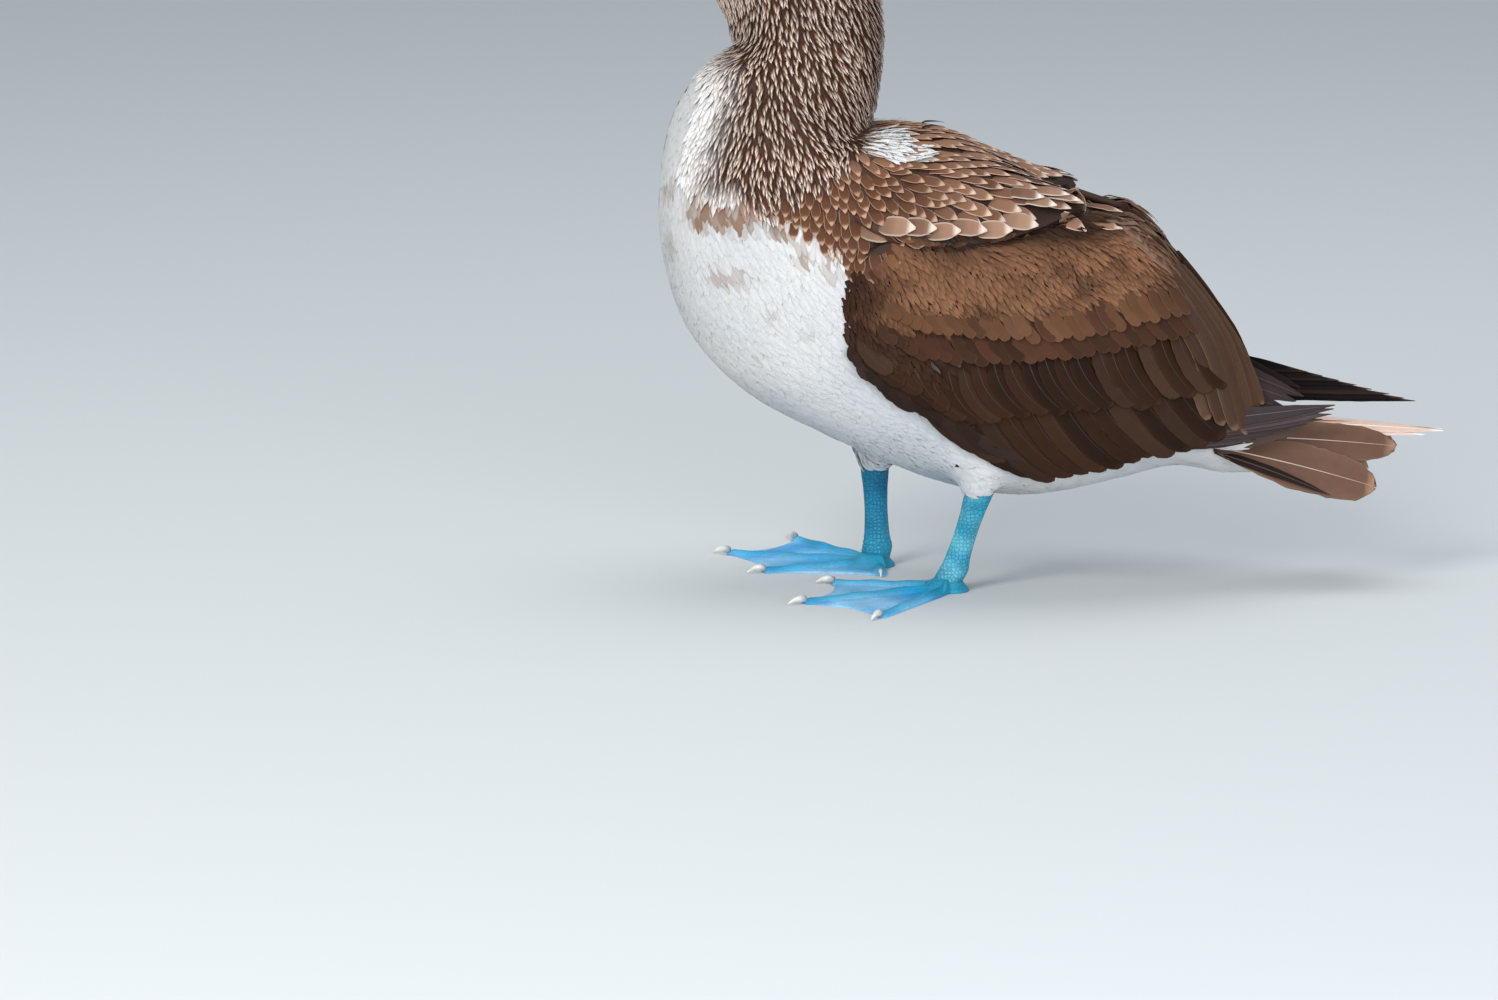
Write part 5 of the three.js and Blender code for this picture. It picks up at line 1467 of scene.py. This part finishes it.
def make_shank(name):
    """One shank with creases over the ankle and broad plates down its front."""
    leg = LEGS[name]
    share = np.linspace(-0.13, 1.06, 130)
    place = np.interp(share, [row[0] for row in SHANK_ROWS], np.arange(len(SHANK_ROWS)))
    _, deep, wide = np.moveaxis(rows_at(SHANK_ROWS, place), -1, 0)
    turn = np.linspace(0, 2 * math.pi, 72, endpoint=False)[None]
    foot, heel = np.array(leg["ankle"], float), np.array(leg["heel"], float)
    centre = foot + (heel - foot) * share[:, None]
    sunk = np.clip(0.08 - share, 0, 1) * 30
    deep, wide = deep - sunk * 0.25, wide + sunk * 0.25
    centre[:, 0] -= sunk * 0.3
    crease = np.zeros(share.shape)
    for height, width, depth in ((0.05, 0.012, 0.5), (0.095, 0.014, 0.7), (0.15, 0.016, 0.45)):
        crease += depth * np.exp(-((share - height) / width) ** 2)
    front = np.clip(-np.cos(turn), 0, 1)
    inward = crease[:, None] * (0.35 + 0.65 * front)
    scutes = 0.18 * np.abs(np.sin(math.pi * share * 24))[:, None] * front ** 3
    x = centre[:, :1] + (deep[:, None] - inward + scutes) * np.cos(turn)
    y = centre[:, 1:2] + (wide[:, None] - inward) * np.sin(turn)
    z = np.broadcast_to(centre[:, 2:], x.shape)
    points, faces = tube(np.stack([x, y, z], -1))
    piece = mesh_object(f"shank_skin_{name}", points, faces)
    # Painted light and shade: the left, near shank is paler and the right, far shank deeper and darker, as
    # lit and shaded copies of one blue.
    colours = ("#5fb2c6", "#2a90ae") if name == "left" else ("#2b93b2", "#0a6a8f")
    tint(piece, blend(linear(colours[0]), linear(colours[1]),
                      np.clip(0.5 + 0.6 * drift(points, 12, 9), 0, 1)))
    return finish_piece(piece, SHANK_SKIN, "shank_skin", f"shank_{name}")


def make_claw(foot, side, toe, angle, length):
    """One curved claw that tapers from the end of its toe."""
    leg = LEGS[foot]
    scale, low = (0.7, 0.96) if toe == "hind" else (1, 1)
    heading = math.radians(leg["heading"] + angle)
    out = np.array([-math.cos(heading), side * math.sin(heading), 0])
    across = np.array([-out[1], out[0], 0])
    share = np.linspace(0, 1, 30)
    high = np.interp(share, [0, 0.3, 0.6, 0.85, 1], [3.1, 3.9, 3.5, 2.0, 0.9]) * low
    thin = np.interp(share, [0, 0.1, 0.3, 0.55, 0.8, 0.94, 1], [0.9, 1.08, 1, 0.76, 0.46, 0.24, 0.06])
    turn = np.linspace(0, 2 * math.pi, 20, endpoint=False)
    start = np.array(leg["ankle"], float) * [1, 1, 0] + out * (length - 1.5)
    radius = 2.3 * thin * scale
    centre = start + out * (share * 13.5 * scale)[:, None] + np.array([0, 0, 1]) * high[:, None]
    rings = (centre[:, None] + across * (radius[:, None] * 0.85 * np.cos(turn))[..., None]
             + np.array([0, 0, 1]) * (radius[:, None] * np.sin(turn))[..., None])
    piece = mesh_object(f"claw_{toe}_{foot}_horn", *tube(rings))
    along = np.concatenate([np.repeat(share, 20), [0, 1]])
    tint(piece, blend(linear("#7e8d97"), linear("#d5d6d0"), smooth(along, 0.0, 0.45)))
    return finish_piece(piece, CLAW_HORN, "claw_horn", f"claw_{toe}_{foot}")


for side_name, side in SIDES.items():
    make_foot(side_name, side)
    make_shank(side_name)
    for toe, angle, length in TOES:
        make_claw(side_name, side, toe, angle, length)


# Floor, light and camera

def floor_material():
    """A plain pale studio floor: matt painted board with a barely visible tooth."""
    made, add = material("floor_matt_painted_board")
    place = add("ShaderNodeTexCoord")
    tooth = add("ShaderNodeTexNoise", {"Vector": place.outputs["Object"]}, Scale=60.0, Detail=3.0)
    raised = add("ShaderNodeBump", {"Height": tooth.outputs["Fac"]}, Strength=0.05, Distance=0.001)
    surface = add("ShaderNodeBsdfPrincipled", {"Base Color": rgb("#cdd1d3"), "Normal": raised.outputs[0]},
                  Roughness=0.8)
    add("ShaderNodeOutputMaterial", {"Surface": surface.outputs[0]})
    return made


floor_mesh = bpy.data.meshes.new("floor")
floor_mesh.from_pydata([(-20, -12, 0), (20, -12, 0), (20, 28, 0), (-20, 28, 0)], [], [(0, 1, 2, 3)])
floor = bpy.data.objects.new("floor", floor_mesh)
floor.data.materials.append(floor_material())
bpy.context.scene.collection.objects.link(floor)


def area_light(name, place, size, power, colour="#ffffff"):
    """A round softbox at place, size m across, that faces the bird."""
    light = bpy.data.lights.new(name, "AREA")
    light.shape, light.size, light.energy = "DISK", size, power
    light.color = linear(colour)
    lamp = bpy.data.objects.new(name, light)
    lamp.location = place
    aim = Vector((-0.05, 0, 0.25)) - lamp.location
    lamp.rotation_euler = aim.to_track_quat("-Z", "Y").to_euler()
    bpy.context.scene.collection.objects.link(lamp)


area_light("key_softbox", (-1.8, -2.4, 2.2), 1.5, 66, "#fffaf2")
area_light("top_softbox", (0.2, 0.5, 3.0), 2.2, 30)
area_light("fill_softbox", (0.7, -2.8, 0.35), 2.6, 82, "#f4f7ff")

world = bpy.data.worlds.new("studio_air")
world.use_nodes = True
sky = world.node_tree.nodes["Background"]
sky.inputs["Color"].default_value = rgb("#dde6ee")
sky.inputs["Strength"].default_value = 0.62
bpy.context.scene.world = world
bpy.context.scene.view_settings.view_transform = "Standard"

lens = bpy.data.cameras.new("camera")
lens.sensor_width = 36
lens.lens = 36 * DISTANCE / (1498 * PIXEL)
lens.clip_end = 60
camera = bpy.data.objects.new("camera", lens)
camera.location = settle(AIM + DISTANCE * np.array([0, -math.cos(ELEVATION), math.sin(ELEVATION)]))
camera.rotation_euler = (math.pi / 2 - ELEVATION, 0, 0)
bpy.context.scene.collection.objects.link(camera)
bpy.context.scene.camera = camera
